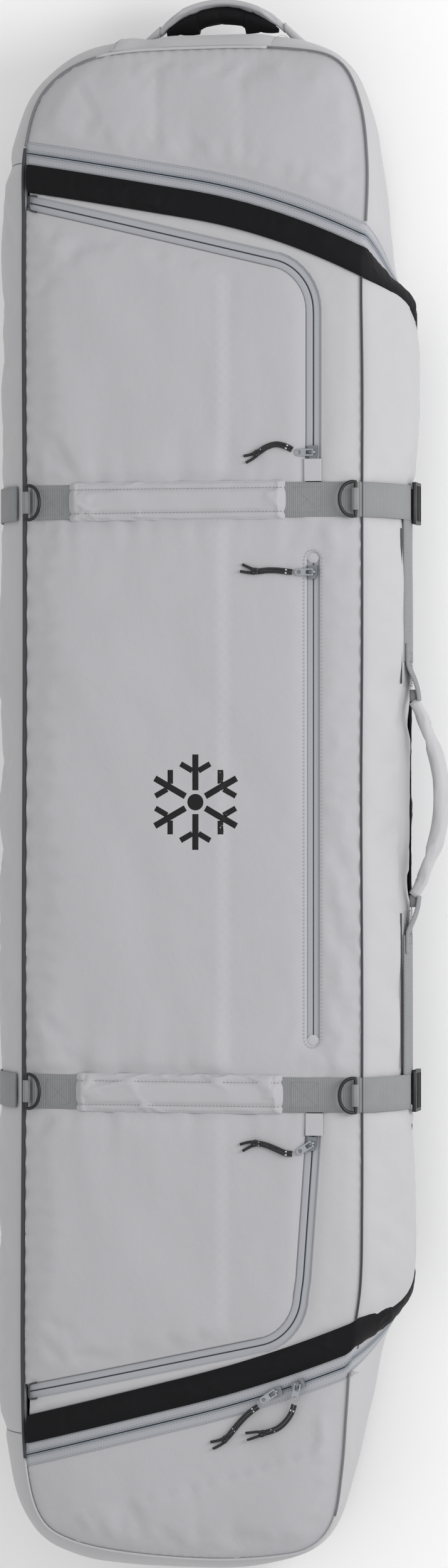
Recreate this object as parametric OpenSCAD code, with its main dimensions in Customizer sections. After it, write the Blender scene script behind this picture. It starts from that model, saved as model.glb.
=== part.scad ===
// Padded snowboard travel bag, lying on its back: a tub, a lid that folds over on its left seam,
// three outside pockets, compression straps with ladder locks, carry handle and haul handle.
// +X is the bag's right, +Y its head end and +Z its front. Millimetres.

/* [Bag] */
// Half the width of the front, from its middle to a side seam
half_width = 190; // [187:1:193]
// Height of the front seam over the back panel's underside
seam_height = 190; // [186:1:194]
// How far a padded side bulges past its seams
side_bulge = 36; // [35:1:38]
// How far the front crowns over its seams
crown = 13; // [11:1:15]
// Origin to the seam at the head end
head_reach = 808; // [800:1:816]
// Origin to the seam at the foot end
foot_reach = 814; // [808:1:820]
// Corner radius of the seam at the head end
head_corner = 95; // [90:1:100]
// Corner radius of the seam at the foot end
foot_corner = 110; // [104:1:114]
// Thickness of one padded panel
panel_t = 8; // [7:0.5:8]
// Thickness of the foam sheets inside
foam_t = 6; // [4:0.5:6]

/* [Zips] */
// Height of the main zip along the right side
side_zip_height = 28; // [26:1:30]
// Half the width of the main zip's two tapes together
main_tape_half = 12; // [11:0.5:12]
// Half the width of a pocket zip's tape
pocket_tape_half = 8.5; // [8:0.5:9]
// Place of the pocket zips' straight runs, right of the middle
pocket_zip_x = 137; // [135:1:139]
// Half the width of the black padded band beside the main zip
band_half = 15; // [13:1:15]

/* [Straps] */
// Width of the webbing
web_width = 38; // [36:1:38]
// Thickness of the webbing
web_t = 2; // [1.5:0.1:2]
// Middle of the upper strap
upper_strap_y = 325; // [322:1:328]
// Middle of the lower strap
lower_strap_y = -322; // [-325:1:-319]
// Thickness of the padded sleeve round a strap
sleeve_t = 9; // [7:0.5:10]

/* [Handles] */
// Reach of the carry handle past the side seam
carry_reach = 82; // [78:1:84]
// Length of the carry handle between its two loops
carry_length = 210; // [200:1:214]
// Reach of the haul handle past the head wall
haul_reach = 40; // [37:1:41]
// Length of the haul handle between its two loops
haul_length = 150; // [140:1:156]

/* [Pulls] */
// Diameter of the pull cords
cord_d = 3; // [2.5:0.1:3.2]
// Length of a pull tab
tab_length = 20; // [18:1:21]

/* [Hidden] */
$fn = 96;

gap = 0.3;
far = 300;
base_z = panel_t;
arc_half = (seam_height - base_z) / 2;
arc_z = base_z + arc_half;
arc_r = (arc_half * arc_half + side_bulge * side_bulge) / (2 * side_bulge);
arc_x = half_width + side_bulge - arc_r;
wall_in = arc_r - panel_t;
lid_left = -half_width + 3;
split = 6;              // the tapes part this far from the teeth, towards the lid
wall_top = seam_height - 9;
stack = 2 * panel_t;    // lid lining layer and pocket layer together
slider_h = 5;
slider_w = 10;
slider_l = 15;
ring_bar_r = 1.8;
ring_out = 18;
ring_tilt = 25;
ring_x = 184;
ring_half = 19;
loop_r = 4.2;
tab_t = 1.6;
tab_w = 8;

// Height of the front face, and the two diagonal main zips on it
function front_z(x) = seam_height + crown * (1 - pow(abs(x) / half_width, 4));
function head_line(x) = 676 - 0.186 * x - 0.00077 * pow(max(x, 0), 2);
function foot_line(x) = -674 + 0.264 * x + 0.00038 * pow(max(x, 0), 2);

// The main zip along the right side, which climbs to the front at both ends
side_rise = 0.0104;
side_level = 488;
function side_climb(y) = max(abs(y) - side_level, 0);
function side_edge(y, o) =
    side_zip_height + side_rise * pow(side_climb(y), 2)
    + o * sqrt(1 + pow(2 * side_rise * side_climb(y), 2));

// Pocket zips, from the left seam to their straight runs
function upper_pocket_line(x) = 610 - 0.25 * x;
function lower_pocket_line(x) = -613 + 0.221 * x;
lower_lean = 0.07;
function lower_run_x(y) = pocket_zip_x + lower_lean * (y + 365);

function steps(a, b, n) = [for (i = [0 : n]) a + (b - a) * i / n];
function reversed(list) = [for (i = [len(list) - 1 : -1 : 0]) list[i]];

// ---- sections and sweeps ----

module along_y(y0, y1) {
    translate([0, y1, 0]) rotate([90, 0, 0]) linear_extrude(y1 - y0) children();
}

// A layer of the front between two heights over or under its face
module layer_2d(x0, x1, low, high, n = 16) {
    xs = steps(x0, x1, n);
    polygon(concat(
        [for (x = xs) [x, front_z(x) + low]],
        [for (x = reversed(xs)) [x, front_z(x) + high]]
    ));
}

module bag_section_2d() {
    for (side = [-1, 1]) translate([side * arc_x, arc_z]) circle(arc_r);
    translate([-arc_x, 0]) square([2 * arc_x, far]);
}

// A ring of the bulging side wall between two radii and two heights
module side_ring_2d(side, r0, r1, z0, z1) {
    intersection() {
        translate([side * arc_x, arc_z]) difference() {
            circle(r1);
            circle(r0);
        }
        translate([side > 0 ? 150 : -far, z0]) square([far - 150, z1 - z0]);
    }
}

module side_wall(side, r0, r1, z0, z1, y0, y1) {
    along_y(y0, y1) side_ring_2d(side, r0, r1, z0, z1);
}

// What is above or below a line offset from the side zip
module above_side_zip(o) {
    ys = steps(-620, 620, 124);
    translate([150, 0, 0]) rotate([90, 0, 90]) linear_extrude(150) polygon(concat(
        [for (y = ys) [y, side_edge(y, o)]],
        [[620, far], [-620, far]]
    ));
}

module below_side_zip(o) {
    ys = steps(-620, 620, 124);
    translate([150, 0, 0]) rotate([90, 0, 90]) linear_extrude(150) polygon(concat(
        [for (y = ys) [y, side_edge(y, o)]],
        [[620, far], [950, far], [950, -1], [-950, -1], [-950, far], [-620, far]]
    ));
}

// Rounded outline of the seams, pulled in by inset
module outline_2d(inset) {
    w = half_width - inset;
    head_y = head_reach - head_corner;
    foot_y = -foot_reach + foot_corner;
    translate([-w, foot_y]) square([2 * w, head_y - foot_y]);
    translate([-half_width + head_corner, head_y])
        square([2 * (half_width - head_corner), head_corner - inset]);
    translate([-half_width + foot_corner, -foot_reach + inset])
        square([2 * (half_width - foot_corner), foot_corner - inset]);
    for (s = [-1, 1]) {
        translate([s * (half_width - head_corner), head_y]) circle(head_corner - inset);
        translate([s * (half_width - foot_corner), foot_y]) circle(foot_corner - inset);
    }
}

// The lid's plan, pulled in from the two main zips
module lid_plan_2d(o, x1 = 206) {
    xs = steps(lid_left, x1, 18);
    polygon(concat(
        [for (x = xs) [x, foot_line(x) + o]],
        [for (x = reversed(xs)) [x, head_line(x) - o]]
    ));
}

// A strip along a main zip on the front; end is 1 at the head and -1 at the foot
module zip_strip_2d(end, o0, o1, x0, x1) {
    xs = steps(x0, x1, 18);
    polygon(concat(
        [for (x = xs) [x, (end > 0 ? head_line(x) : foot_line(x)) + end * o0]],
        [for (x = reversed(xs)) [x, (end > 0 ? head_line(x) : foot_line(x)) + end * o1]]
    ));
}

// Cuts a plan shape out of one layer of the front, inside the bag's section
module front_part(low, high, x0 = -206, x1 = 206) {
    intersection() {
        along_y(-900, 900) intersection() {
            layer_2d(x0, x1, low, high);
            bag_section_2d();
        }
        translate([0, 0, 100]) linear_extrude(200) children();
    }
}

// The same for what lies on top of the front, outside the section
module on_front(low, high, x0, x1, y0, y1) {
    along_y(y0, y1) layer_2d(x0, x1, low, high);
}

// ---- tub ----

module back_panel() {
    color([0.55, 0.55, 0.57]) linear_extrude(panel_t) outline_2d(0);
}

module base_foam() {
    color([0.25, 0.25, 0.27]) translate([0, 0, panel_t]) linear_extrude(foam_t) outline_2d(14);
}

module left_gusset() {
    color([0.66, 0.66, 0.68]) intersection() {
        side_wall(-1, wall_in, arc_r, base_z, seam_height - 1, -700, 700);
        translate([-far, -far * 3, 0]) cube([far - half_width + 1.5, far * 6, far]);
    }
}

module right_gusset() {
    color([0.74, 0.74, 0.75]) intersection() {
        side_wall(1, wall_in, arc_r, base_z, wall_top, -560, 560);
        below_side_zip(-main_tape_half);
    }
}

// A wall that runs round one end: two corners, the end, and the stubs beside them
module end_wall(end, reach, corner, stub) {
    centre_y = reach - corner;
    mirror([0, end < 0 ? 1 : 0, 0]) {
        for (s = [0, 1]) mirror([s, 0, 0]) {
            translate([half_width - corner, centre_y, 0])
                rotate_extrude(angle = 90) corner_ring_2d(corner);
        }
        translate([-half_width + corner, centre_y, 0]) rotate([90, 0, 90])
            linear_extrude(2 * (half_width - corner)) corner_ring_2d(corner);
        side_wall(-1, wall_in, arc_r, base_z, wall_top, 700, centre_y - gap);
        intersection() {
            side_wall(1, wall_in, arc_r, base_z, wall_top, stub, centre_y - gap);
            below_side_zip(-main_tape_half);
        }
    }
}

module corner_ring_2d(corner) {
    intersection() {
        translate([corner + side_bulge - arc_r, arc_z]) difference() {
            circle(arc_r);
            circle(wall_in);
        }
        translate([corner - 40, base_z]) square([120, wall_top - base_z]);
    }
}

module head_gusset() {
    color([0.74, 0.74, 0.75]) end_wall(1, head_reach, head_corner, 560);
}

module foot_gusset() {
    color([0.72, 0.72, 0.74]) end_wall(-1, foot_reach, foot_corner, 560);
}

module head_panel() {
    color([0.68, 0.68, 0.70]) front_part(-panel_t, 0) intersection() {
        outline_2d(0);
        zip_strip_2d(1, main_tape_half, 400, -206, 206);
    }
}

module foot_panel() {
    color([0.66, 0.66, 0.68]) front_part(-panel_t, 0) intersection() {
        outline_2d(0);
        zip_strip_2d(-1, main_tape_half, 400, -206, 206);
    }
}

module tub_zip_tape() {
    color([0.62, 0.64, 0.67]) {
        for (end = [-1, 1]) front_part(-3, -1, lid_left, 200)
            zip_strip_2d(end, -split + gap, main_tape_half, lid_left, 200);
        intersection() {
            side_wall(1, arc_r - 3, arc_r - 1, base_z + 1, 176, -612, 612);
            below_side_zip(split - gap);
            above_side_zip(-main_tape_half);
        }
    }
}

// Patch on the head wall with two sewn loops that hold the haul handle's ends
haul_x = 16;
haul_pin_y = head_reach + side_bulge + 9;
haul_pin_r = 4.5;
haul_loop_l = 14;
module head_patch() {
    color([0.58, 0.58, 0.61]) {
        translate([-75, head_reach - head_corner, 0]) rotate([90, 0, 90]) linear_extrude(165)
            intersection() {
                translate([head_corner + side_bulge - arc_r, arc_z]) difference() {
                    circle(arc_r + web_t);
                    circle(arc_r);
                }
                translate([head_corner, 30]) square([80, 140]);
            }
        for (s = [-1, 1]) difference() {
            translate([haul_x + s * (haul_length / 2 + haul_loop_l / 2), haul_pin_y, arc_z])
                rotate([0, 90, 0]) cylinder(r = haul_pin_r + 2.5, h = haul_loop_l, center = true);
            translate([haul_x, haul_pin_y, arc_z]) rotate([0, 90, 0])
                cylinder(r = haul_pin_r + 0.5, h = 2 * haul_length, center = true);
        }
    }
}

// Strap ends on the tub: down the left wall, and free of the lid up the right wall to the ladder lock
module tub_strap(y) {
    color([0.50, 0.51, 0.53]) {
        side_wall(-1, arc_r, arc_r + web_t, base_z + 2, seam_height - 10,
            y - web_width / 2, y + web_width / 2);
        side_wall(1, arc_r, arc_r + web_t, base_z + 2, side_zip_height - main_tape_half,
            y - web_width / 2, y + web_width / 2);
        side_wall(1, arc_r + web_t, arc_r + 2 * web_t, base_z + 2, lock_top - lock_h - 1,
            y - web_width / 2, y + web_width / 2);
    }
}

module tub_strap_upper() { tub_strap(upper_strap_y); }
module tub_strap_lower() { tub_strap(lower_strap_y); }

// ---- lid ----

module lid_panel() {
    color([0.60, 0.60, 0.62]) front_part(-stack, -panel_t, lid_left, 206)
        lid_plan_2d(main_tape_half);
}

module lid_foam() {
    color([0.25, 0.25, 0.27]) front_part(-stack - foam_t - 1, -stack - 1, -174, 174)
        lid_plan_2d(main_tape_half + 10, 174);
}

// Area of one pocket front: up to its zip at the top and the right
module pocket_plan_2d(y_strap, line_gap, run_gap) {
    up = y_strap > 0;
    corner = 44;
    run = up ? pocket_zip_x : lower_run_x(-565);
    line = [for (x = steps(lid_left, run - corner, 6))
        [x, up ? upper_pocket_line(x) - line_gap : lower_pocket_line(x) + line_gap]];
    top = line[len(line) - 1];
    foot_of_run = up ? pocket_zip_x : lower_run_x(y_strap);
    turn = [for (a = [60, 30, 0])
        [run - corner + (corner - run_gap) * cos(a),
         top[1] - (up ? 1 : -1) * (corner - 6) * (1 - sin(a))]];
    polygon(concat([[lid_left, y_strap]], line, turn, [[foot_of_run - run_gap, y_strap]]));
}

module upper_pocket() {
    color([0.70, 0.70, 0.72]) front_part(-panel_t, 0, lid_left, 206)
        pocket_plan_2d(upper_strap_y, pocket_tape_half, pocket_tape_half);
}

module lower_pocket() {
    color([0.69, 0.69, 0.71]) front_part(-panel_t, 0, lid_left, 206)
        pocket_plan_2d(lower_strap_y, pocket_tape_half, pocket_tape_half);
}

// The fabric between a pocket zip and the black band, down to the strap
module edge_strip_2d(y_strap) {
    difference() {
        intersection() {
            lid_plan_2d(main_tape_half + 2 * band_half + 1);
            translate([-far, y_strap > 0 ? y_strap : -900]) square([2 * far, 900 - abs(y_strap)]);
        }
        pocket_plan_2d(y_strap, -pocket_tape_half, -pocket_tape_half);
    }
}

module upper_strip() {
    color([0.76, 0.75, 0.76]) front_part(-panel_t, 0, lid_left, 206) edge_strip_2d(upper_strap_y);
}

module lower_strip() {
    color([0.74, 0.73, 0.74]) front_part(-panel_t, 0, lid_left, 206) edge_strip_2d(lower_strap_y);
}

slot_half = 7;
slot_top = 261;
slot_foot = -262;
module slot_2d(half) {
    translate([pocket_zip_x - half, slot_foot]) square([2 * half, slot_top - slot_foot]);
    for (y = [slot_foot, slot_top]) translate([pocket_zip_x, y]) circle(half);
}

module centre_pocket() {
    color([0.71, 0.71, 0.73]) front_part(-panel_t, 0, lid_left, 206) difference() {
        translate([lid_left, lower_strap_y])
            square([206 - lid_left, upper_strap_y - lower_strap_y]);
        slot_2d(slot_half);
    }
}

module lid_gusset() {
    color([0.79, 0.79, 0.80]) intersection() {
        side_wall(1, wall_in, arc_r, base_z, seam_height, -612, 612);
        above_side_zip(main_tape_half);
        along_y(-620, 620) layer_2d(150, 230, -150, -stack - 1);
    }
}

module band_end(end) {
    color([0.08, 0.08, 0.09]) {
        intersection() {
            on_front(-panel_t + 0.5, 5, lid_left, half_width, -900, 900);
            translate([0, 0, 100]) linear_extrude(200) zip_strip_2d(end,
                -main_tape_half - 2 * band_half, -main_tape_half - gap, lid_left, half_width);
        }
        intersection() {
            side_wall(1, arc_r, arc_r + 6, base_z, seam_height - 9,
                end > 0 ? 500 : -606, end > 0 ? 606 : -500);
            above_side_zip(main_tape_half);
            below_side_zip(main_tape_half + 2 * band_half - 8);
        }
    }
}

module band_upper() { band_end(1); }
module band_lower() { band_end(-1); }

// Runs beside the zip on the right wall, in three lengths that leave room for the straps
band_side_low = side_zip_height + 13;
module band_side() {
    half = web_width / 2 + 8;
    color([0.08, 0.08, 0.09])
        for (run = [[-499, lower_strap_y - half], [lower_strap_y + half, upper_strap_y - half],
                    [upper_strap_y + half, 499]])
            side_wall(1, arc_r, arc_r + 6, band_side_low, band_side_low + 26, run[0], run[1]);
}

module lid_zip_tape() {
    color([0.62, 0.64, 0.67]) {
        for (end = [-1, 1]) front_part(-3, -1, lid_left, 200)
            zip_strip_2d(end, -main_tape_half, -split - gap, lid_left, 200);
        intersection() {
            side_wall(1, arc_r - 3, arc_r - 1, base_z + 1, 167, -612, 612);
            above_side_zip(split + gap);
            below_side_zip(main_tape_half);
        }
    }
}

tape_top = 5;
module pocket_tape(y_strap) {
    color([0.64, 0.65, 0.69]) front_part(-tape_top - 2, -tape_top, lid_left, 206) intersection() {
        difference() {
            pocket_plan_2d(y_strap, -pocket_tape_half, -pocket_tape_half);
            pocket_plan_2d(y_strap, pocket_tape_half, pocket_tape_half);
        }
        translate([-far, y_strap > 0 ? y_strap + 20 : -900])
            square([2 * far, 880 - abs(y_strap)]);
    }
}

module upper_pocket_zip() { pocket_tape(upper_strap_y); }
module lower_pocket_zip() { pocket_tape(lower_strap_y); }

module centre_pocket_zip() {
    color([0.63, 0.64, 0.67]) front_part(-tape_top - 2, -tape_top) slot_2d(slot_half);
}

// Fabric covers over the ends of the two strap-side zips
module zip_garage(y_strap) {
    s = sign(y_strap);
    length = 22;
    y0 = y_strap + s * (web_width / 2 + gap);
    color([0.70, 0.70, 0.72]) on_front(0, 2, pocket_zip_x - 12, pocket_zip_x + 12,
        min(y0, y0 + s * length), max(y0, y0 + s * length));
}

module upper_zip_garage() { zip_garage(upper_strap_y); }
module lower_zip_garage() { zip_garage(lower_strap_y); }

strap_end_z = 108;
module front_strap(y) {
    color([0.52, 0.53, 0.55]) {
        on_front(0.2, 0.2 + web_t, -ring_x + loop_r + 1, half_width + 1,
            y - web_width / 2, y + web_width / 2);
        side_wall(1, arc_r, arc_r + web_t, strap_end_z, seam_height,
            y - web_width / 2, y + web_width / 2);
    }
}

module front_strap_upper() { front_strap(upper_strap_y); }
module front_strap_lower() { front_strap(lower_strap_y); }

module sleeve(y, x0, x1) {
    color([0.70, 0.70, 0.72]) on_front(0.5 + web_t, 0.2 + web_t + sleeve_t, x0, x1,
        y - web_width / 2 - 2, y + web_width / 2 + 2);
}

module sleeve_upper() { sleeve(upper_strap_y, -136, 108); }
module sleeve_lower() { sleeve(lower_strap_y, -128, 105); }

// Webbing on the right wall, ending in two sewn loops for the carry handle
carry_z = 112;
carry_pin_x = arc_x + arc_r + 8;
carry_pin_r = 4.5;
carry_loop_l = 16;
module carry_anchors() {
    half_span = carry_length / 2;
    color([0.55, 0.56, 0.58]) {
        for (run = [[half_span + 2, upper_strap_y - web_width / 2 - 4],
                    [lower_strap_y + web_width / 2 + 4, -half_span - 2]])
            side_wall(1, arc_r, arc_r + web_t, carry_z - 12, carry_z + 18, run[0], run[1]);
        for (s = [-1, 1]) difference() {
            translate([carry_pin_x, s * (half_span + carry_loop_l / 2), carry_z])
                rotate([90, 0, 0]) cylinder(r = carry_pin_r + 2.5, h = carry_loop_l, center = true);
            translate([carry_pin_x, 0, carry_z]) rotate([90, 0, 0])
                cylinder(r = carry_pin_r + 0.5, h = 2 * carry_length, center = true);
        }
    }
}

// Short webbing tubes that hold the four rings by their straight bars
module ring_loops() {
    color([0.50, 0.51, 0.53]) for (side = [-1, 1], y = [upper_strap_y, lower_strap_y])
        translate([side * ring_x, y, ring_z]) rotate([90, 0, 0]) difference() {
            cylinder(r = loop_r, h = 24, center = true);
            cylinder(r = ring_bar_r + 0.5, h = 30, center = true);
        }
}
ring_z = front_z(ring_x) + web_t + 0.4 + loop_r;

// A plain six-armed star, printed on the front
star_arm = 52;
module emblem() {
    color([0.10, 0.10, 0.11]) translate([8, -4, front_z(0) + 0.05]) linear_extrude(0.6) {
        circle(9);
        for (a = [0, 60, 120]) rotate(a + 30) square([2 * star_arm, 7], center = true);
        for (a = [0 : 60 : 300], b = [-1, 1]) rotate(a + 30) translate([star_arm * 0.62, 0])
            rotate(b * 60) translate([9, 0]) square([20, 6], center = true);
    }
}

// ---- what moves on the lid and the tub ----

// Bow of a handle: a flat arch from -half to half, or one layer of it that far under its face
module bow_2d(half, reach, thick, under = 0) {
    r = (half * half + reach * reach) / (2 * reach);
    intersection() {
        translate([0, reach - r]) difference() {
            circle(r - under);
            circle(r - under - thick);
        }
        translate([-half, 0]) square([2 * half, reach + 1]);
    }
}

module carry_handle() {
    half = carry_length / 2 - 2;
    reach = carry_reach + half_width - carry_pin_x;
    grip = 13;
    color([0.79, 0.79, 0.80]) translate([carry_pin_x, 0, carry_z]) {
        intersection() {
            translate([0, 0, -20]) linear_extrude(40) rotate(-90) bow_2d(half, reach, grip);
            rotate([90, 0, 0]) linear_extrude(2 * half, center = true)
                polygon([[-1, -4.5], [14, -15], [reach + 2, -15], [reach + 2, 15], [14, 15], [-1, 4.5]]);
        }
        for (s = [-1, 1]) translate([0, s * (half - 6), 0]) rotate([-s * 90, 0, 0])
            cylinder(r = carry_pin_r, h = carry_loop_l + 6);
    }
}

module haul_bow(thick, width, under = 0) {
    half = haul_length / 2 - 2;
    intersection() {
        translate([0, 0, -width]) linear_extrude(2 * width) bow_2d(half, haul_out, thick, under);
        rotate([90, 0, 90]) linear_extrude(2 * half, center = true)
            polygon([[-1, -4], [12, -width / 2], [haul_out + 1, -width / 2],
                     [haul_out + 1, width / 2], [12, width / 2], [-1, 4]]);
    }
}

haul_out = haul_reach - 9;
module haul_handle() {
    half = haul_length / 2 - 2;
    color([0.72, 0.72, 0.74]) translate([haul_x, haul_pin_y, arc_z]) {
        haul_bow(6, 34);
        for (s = [-1, 1]) translate([s * (half - 6), 0, 0]) rotate([0, s * 90, 0])
            cylinder(r = haul_pin_r, h = haul_loop_l + 6);
    }
}

module haul_lining() {
    color([0.10, 0.10, 0.11]) translate([haul_x, haul_pin_y, arc_z]) intersection() {
        haul_bow(13, 30, 6 + gap);
        translate([-haul_length / 2 + 26, 3, -20]) cube([haul_length - 52, haul_out, 40]);
    }
}

// A flat buckle frame with three bars; its top bar is the one it tilts on
lock_x = arc_x + arc_r + 7;
lock_top = strap_end_z - 1;
lock_h = 32;
lock_t = 4.5;
module ladder_lock(y) {
    color([0.07, 0.07, 0.08]) translate([lock_x, y, lock_top]) {
        rotate([90, 0, 0]) cylinder(d = lock_t, h = web_width + 6, center = true);
        difference() {
            translate([-lock_t / 2, -web_width / 2 - 4, -lock_h]) cube([lock_t, web_width + 8, lock_h]);
            for (z = [-10.5, -20, -29.5]) translate([-lock_t, -web_width / 2 - 0.5, z])
                cube([2 * lock_t, web_width + 1, 6.5]);
        }
    }
}

module ladder_lock_upper() { ladder_lock(upper_strap_y); }
module ladder_lock_lower() { ladder_lock(lower_strap_y); }

// A ring: a round straight bar in its loop, and a flat bow with rounded far corners
ring_corner = 9;
module ring_outline_2d(inset) {
    w = ring_half + ring_bar_r - inset;
    out = ring_out - inset;
    corner = ring_corner - inset;
    translate([inset > 0 ? -far : 0, -w]) square([out - corner + (inset > 0 ? far : 0), 2 * w]);
    translate([0, -w + corner]) square([out, 2 * (w - corner)]);
    for (s = [-1, 1]) translate([out - corner, s * (w - corner)]) circle(corner);
}

module d_ring(side, y) {
    color([0.07, 0.07, 0.08]) translate([side * ring_x, y, ring_z])
        mirror([side > 0 ? 1 : 0, 0, 0]) rotate([0, -ring_tilt, 0]) {
            rotate([90, 0, 0])
                cylinder(r = ring_bar_r, h = 2 * (ring_half + ring_bar_r), center = true);
            linear_extrude(2 * ring_bar_r - 0.4, center = true) difference() {
                ring_outline_2d(0);
                ring_outline_2d(2 * ring_bar_r);
            }
        }
}

module ring_upper_left() { d_ring(-1, upper_strap_y); }
module ring_upper_right() { d_ring(1, upper_strap_y); }
module ring_lower_left() { d_ring(-1, lower_strap_y); }
module ring_lower_right() { d_ring(1, lower_strap_y); }

// ---- zip pulls: [place of the slider's middle, turn of the slider, turn of the tab] ----

recess = -tape_top + 0.9;
flush = 0.2;
bail_h = 1.8;
upper_pull = [[pocket_zip_x, 376, front_z(pocket_zip_x) + recess], 90, 180];
centre_pull = [[pocket_zip_x, 246, front_z(pocket_zip_x) + recess], 90, 180];
lower_pull = [[lower_run_x(-375), -375, front_z(pocket_zip_x) + recess], 86, 212];
main_left_pull = [[97, foot_line(97), front_z(97) + flush], 15, 214];
main_right_pull = [[122, foot_line(122), front_z(122) + flush], 20, 258];
function tab_pivot(pull) = pull[0] + [0, 0, slider_h + bail_h];

module slider(pull) {
    color([0.45, 0.46, 0.48]) translate(pull[0]) {
        rotate(pull[1]) linear_extrude(slider_h) polygon([
            [-slider_l / 2, -3], [-slider_l / 2, 3], [-2, slider_w / 2],
            [slider_l / 2, slider_w / 2], [slider_l / 2, -slider_w / 2], [-2, -slider_w / 2]]);
        translate([0, 0, slider_h]) rotate(pull[2]) rotate([90, 0, 0])
            linear_extrude(2.4, center = true) difference() {
                translate([0, 1]) intersection() {
                    circle(4.4);
                    translate([-5, -1]) square([10, 6]);
                }
                circle(3.4);
            }
    }
}

// A flat loop: one hole takes the slider's bail and the other the cord
module pull_tab(pull) {
    color([0.75, 0.76, 0.78]) translate(tab_pivot(pull)) rotate(pull[2])
        translate([0, 0, -tab_t / 2]) linear_extrude(tab_t) difference() {
            union() {
                translate([-1.2, -tab_w / 2]) square([tab_length - 3.2, tab_w]);
                translate([tab_length - 4.4, 0]) circle(tab_w / 2);
            }
            translate([0.8, -2.2]) square([6.2, 4.4]);
            translate([tab_length - 5, 0]) circle(2.2);
        }
}

module slider_upper() { slider(upper_pull); }
module slider_centre() { slider(centre_pull); }
module slider_lower() { slider(lower_pull); }
module slider_main_left() { slider(main_left_pull); }
module slider_main_right() { slider(main_right_pull); }
module tab_upper() { pull_tab(upper_pull); }
module tab_centre() { pull_tab(centre_pull); }
module tab_lower() { pull_tab(lower_pull); }
module tab_main_left() { pull_tab(main_left_pull); }
module tab_main_right() { pull_tab(main_right_pull); }

// Routes of the pull cords, from just past each tab to the knotted tail
upper_route = [[115, 379, 203], [107, 383, 204], [97, 385, 204], [87, 382, 205], [79, 377, 205],
    [71, 372, 205], [63, 369, 205]];
centre_route = [[115, 246, 203], [107, 247, 204], [97, 248, 204], [87, 248, 205], [77, 247, 205],
    [69, 248, 205], [59, 251, 205]];
lower_route = [[115, -386, 203], [107, -385, 204], [97, -381, 204], [87, -377, 205],
    [77, -375, 205], [69, -376, 205], [59, -380, 205]];
main_left_route = [[78, -661, 208], [71, -666, 207], [62, -674, 206], [53, -684, 205],
    [44, -695, 205], [36, -701, 205], [26, -705, 205]];
main_right_route = [[118, -658, 207], [115, -667, 207], [109, -676, 207], [100, -684, 207],
    [87, -689, 207], [77, -691, 207], [65, -694, 207]];

// A smooth curve through the route's points
function spline(p, i, t) =
    let (a = p[max(i - 1, 0)], b = p[i], c = p[i + 1], d = p[min(i + 2, len(p) - 1)])
    0.5 * (2 * b + (c - a) * t + (2 * a - 5 * b + 4 * c - d) * t * t
        + (3 * b - a - 3 * c + d) * t * t * t);
function curve(p, k) = concat(
    [for (i = [0 : len(p) - 2], j = [0 : k - 1]) spline(p, i, j / k)], [p[len(p) - 1]]);
function unit(v) = v / norm(v);

module cord(route) {
    sides = 8;
    pts = curve(route, 2);
    n = len(pts);
    rings = [for (i = [0 : n - 1])
        let (d = unit(pts[min(i + 1, n - 1)] - pts[max(i - 1, 0)]),
             u = unit(cross(d, [0, 0, 1])), v = cross(u, d))
        for (k = [0 : sides - 1])
            pts[i] + cord_d / 2 * (cos(360 * k / sides) * u + sin(360 * k / sides) * v)];
    color([0.08, 0.08, 0.09]) polyhedron(rings, concat(
        [[for (k = [sides - 1 : -1 : 0]) k]],
        [for (i = [0 : n - 2], k = [0 : sides - 1])
            let (m = (k + 1) % sides)
            [i * sides + k, i * sides + m, (i + 1) * sides + m, (i + 1) * sides + k]],
        [[for (k = [0 : sides - 1]) (n - 1) * sides + k]]));
}

module cord_upper() { cord(upper_route); }
module cord_centre() { cord(centre_route); }
module cord_lower() { cord(lower_route); }
module cord_main_left() { cord(main_left_route); }
module cord_main_right() { cord(main_right_route); }

back_panel();
base_foam();
left_gusset();
right_gusset();
head_gusset();
foot_gusset();
head_panel();
foot_panel();
tub_zip_tape();
head_patch();
tub_strap_upper();
tub_strap_lower();
lid_panel();
lid_foam();
upper_pocket();
upper_strip();
centre_pocket();
lower_pocket();
lower_strip();
lid_gusset();
band_upper();
band_side();
band_lower();
lid_zip_tape();
upper_pocket_zip();
centre_pocket_zip();
lower_pocket_zip();
upper_zip_garage();
lower_zip_garage();
front_strap_upper();
front_strap_lower();
sleeve_upper();
sleeve_lower();
carry_anchors();
ring_loops();
emblem();
carry_handle();
haul_handle();
haul_lining();
ladder_lock_upper();
ladder_lock_lower();
ring_upper_left();
ring_upper_right();
ring_lower_left();
ring_lower_right();
slider_upper();
slider_centre();
slider_lower();
slider_main_left();
slider_main_right();
tab_upper();
tab_centre();
tab_lower();
tab_main_left();
tab_main_right();
cord_upper();
cord_centre();
cord_lower();
cord_main_left();
cord_main_right();
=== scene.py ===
"""Looks of a padded snowboard travel bag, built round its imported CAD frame.

The bag lies on its back: +X is its right side, +Y its head end and +Z its front. Lengths are in millimetres
until a mesh is made, and every mesh is in metres.
"""
import math

import bpy
import bmesh
import numpy as np
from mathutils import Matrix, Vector, bvhtree, geometry, noise


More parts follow.
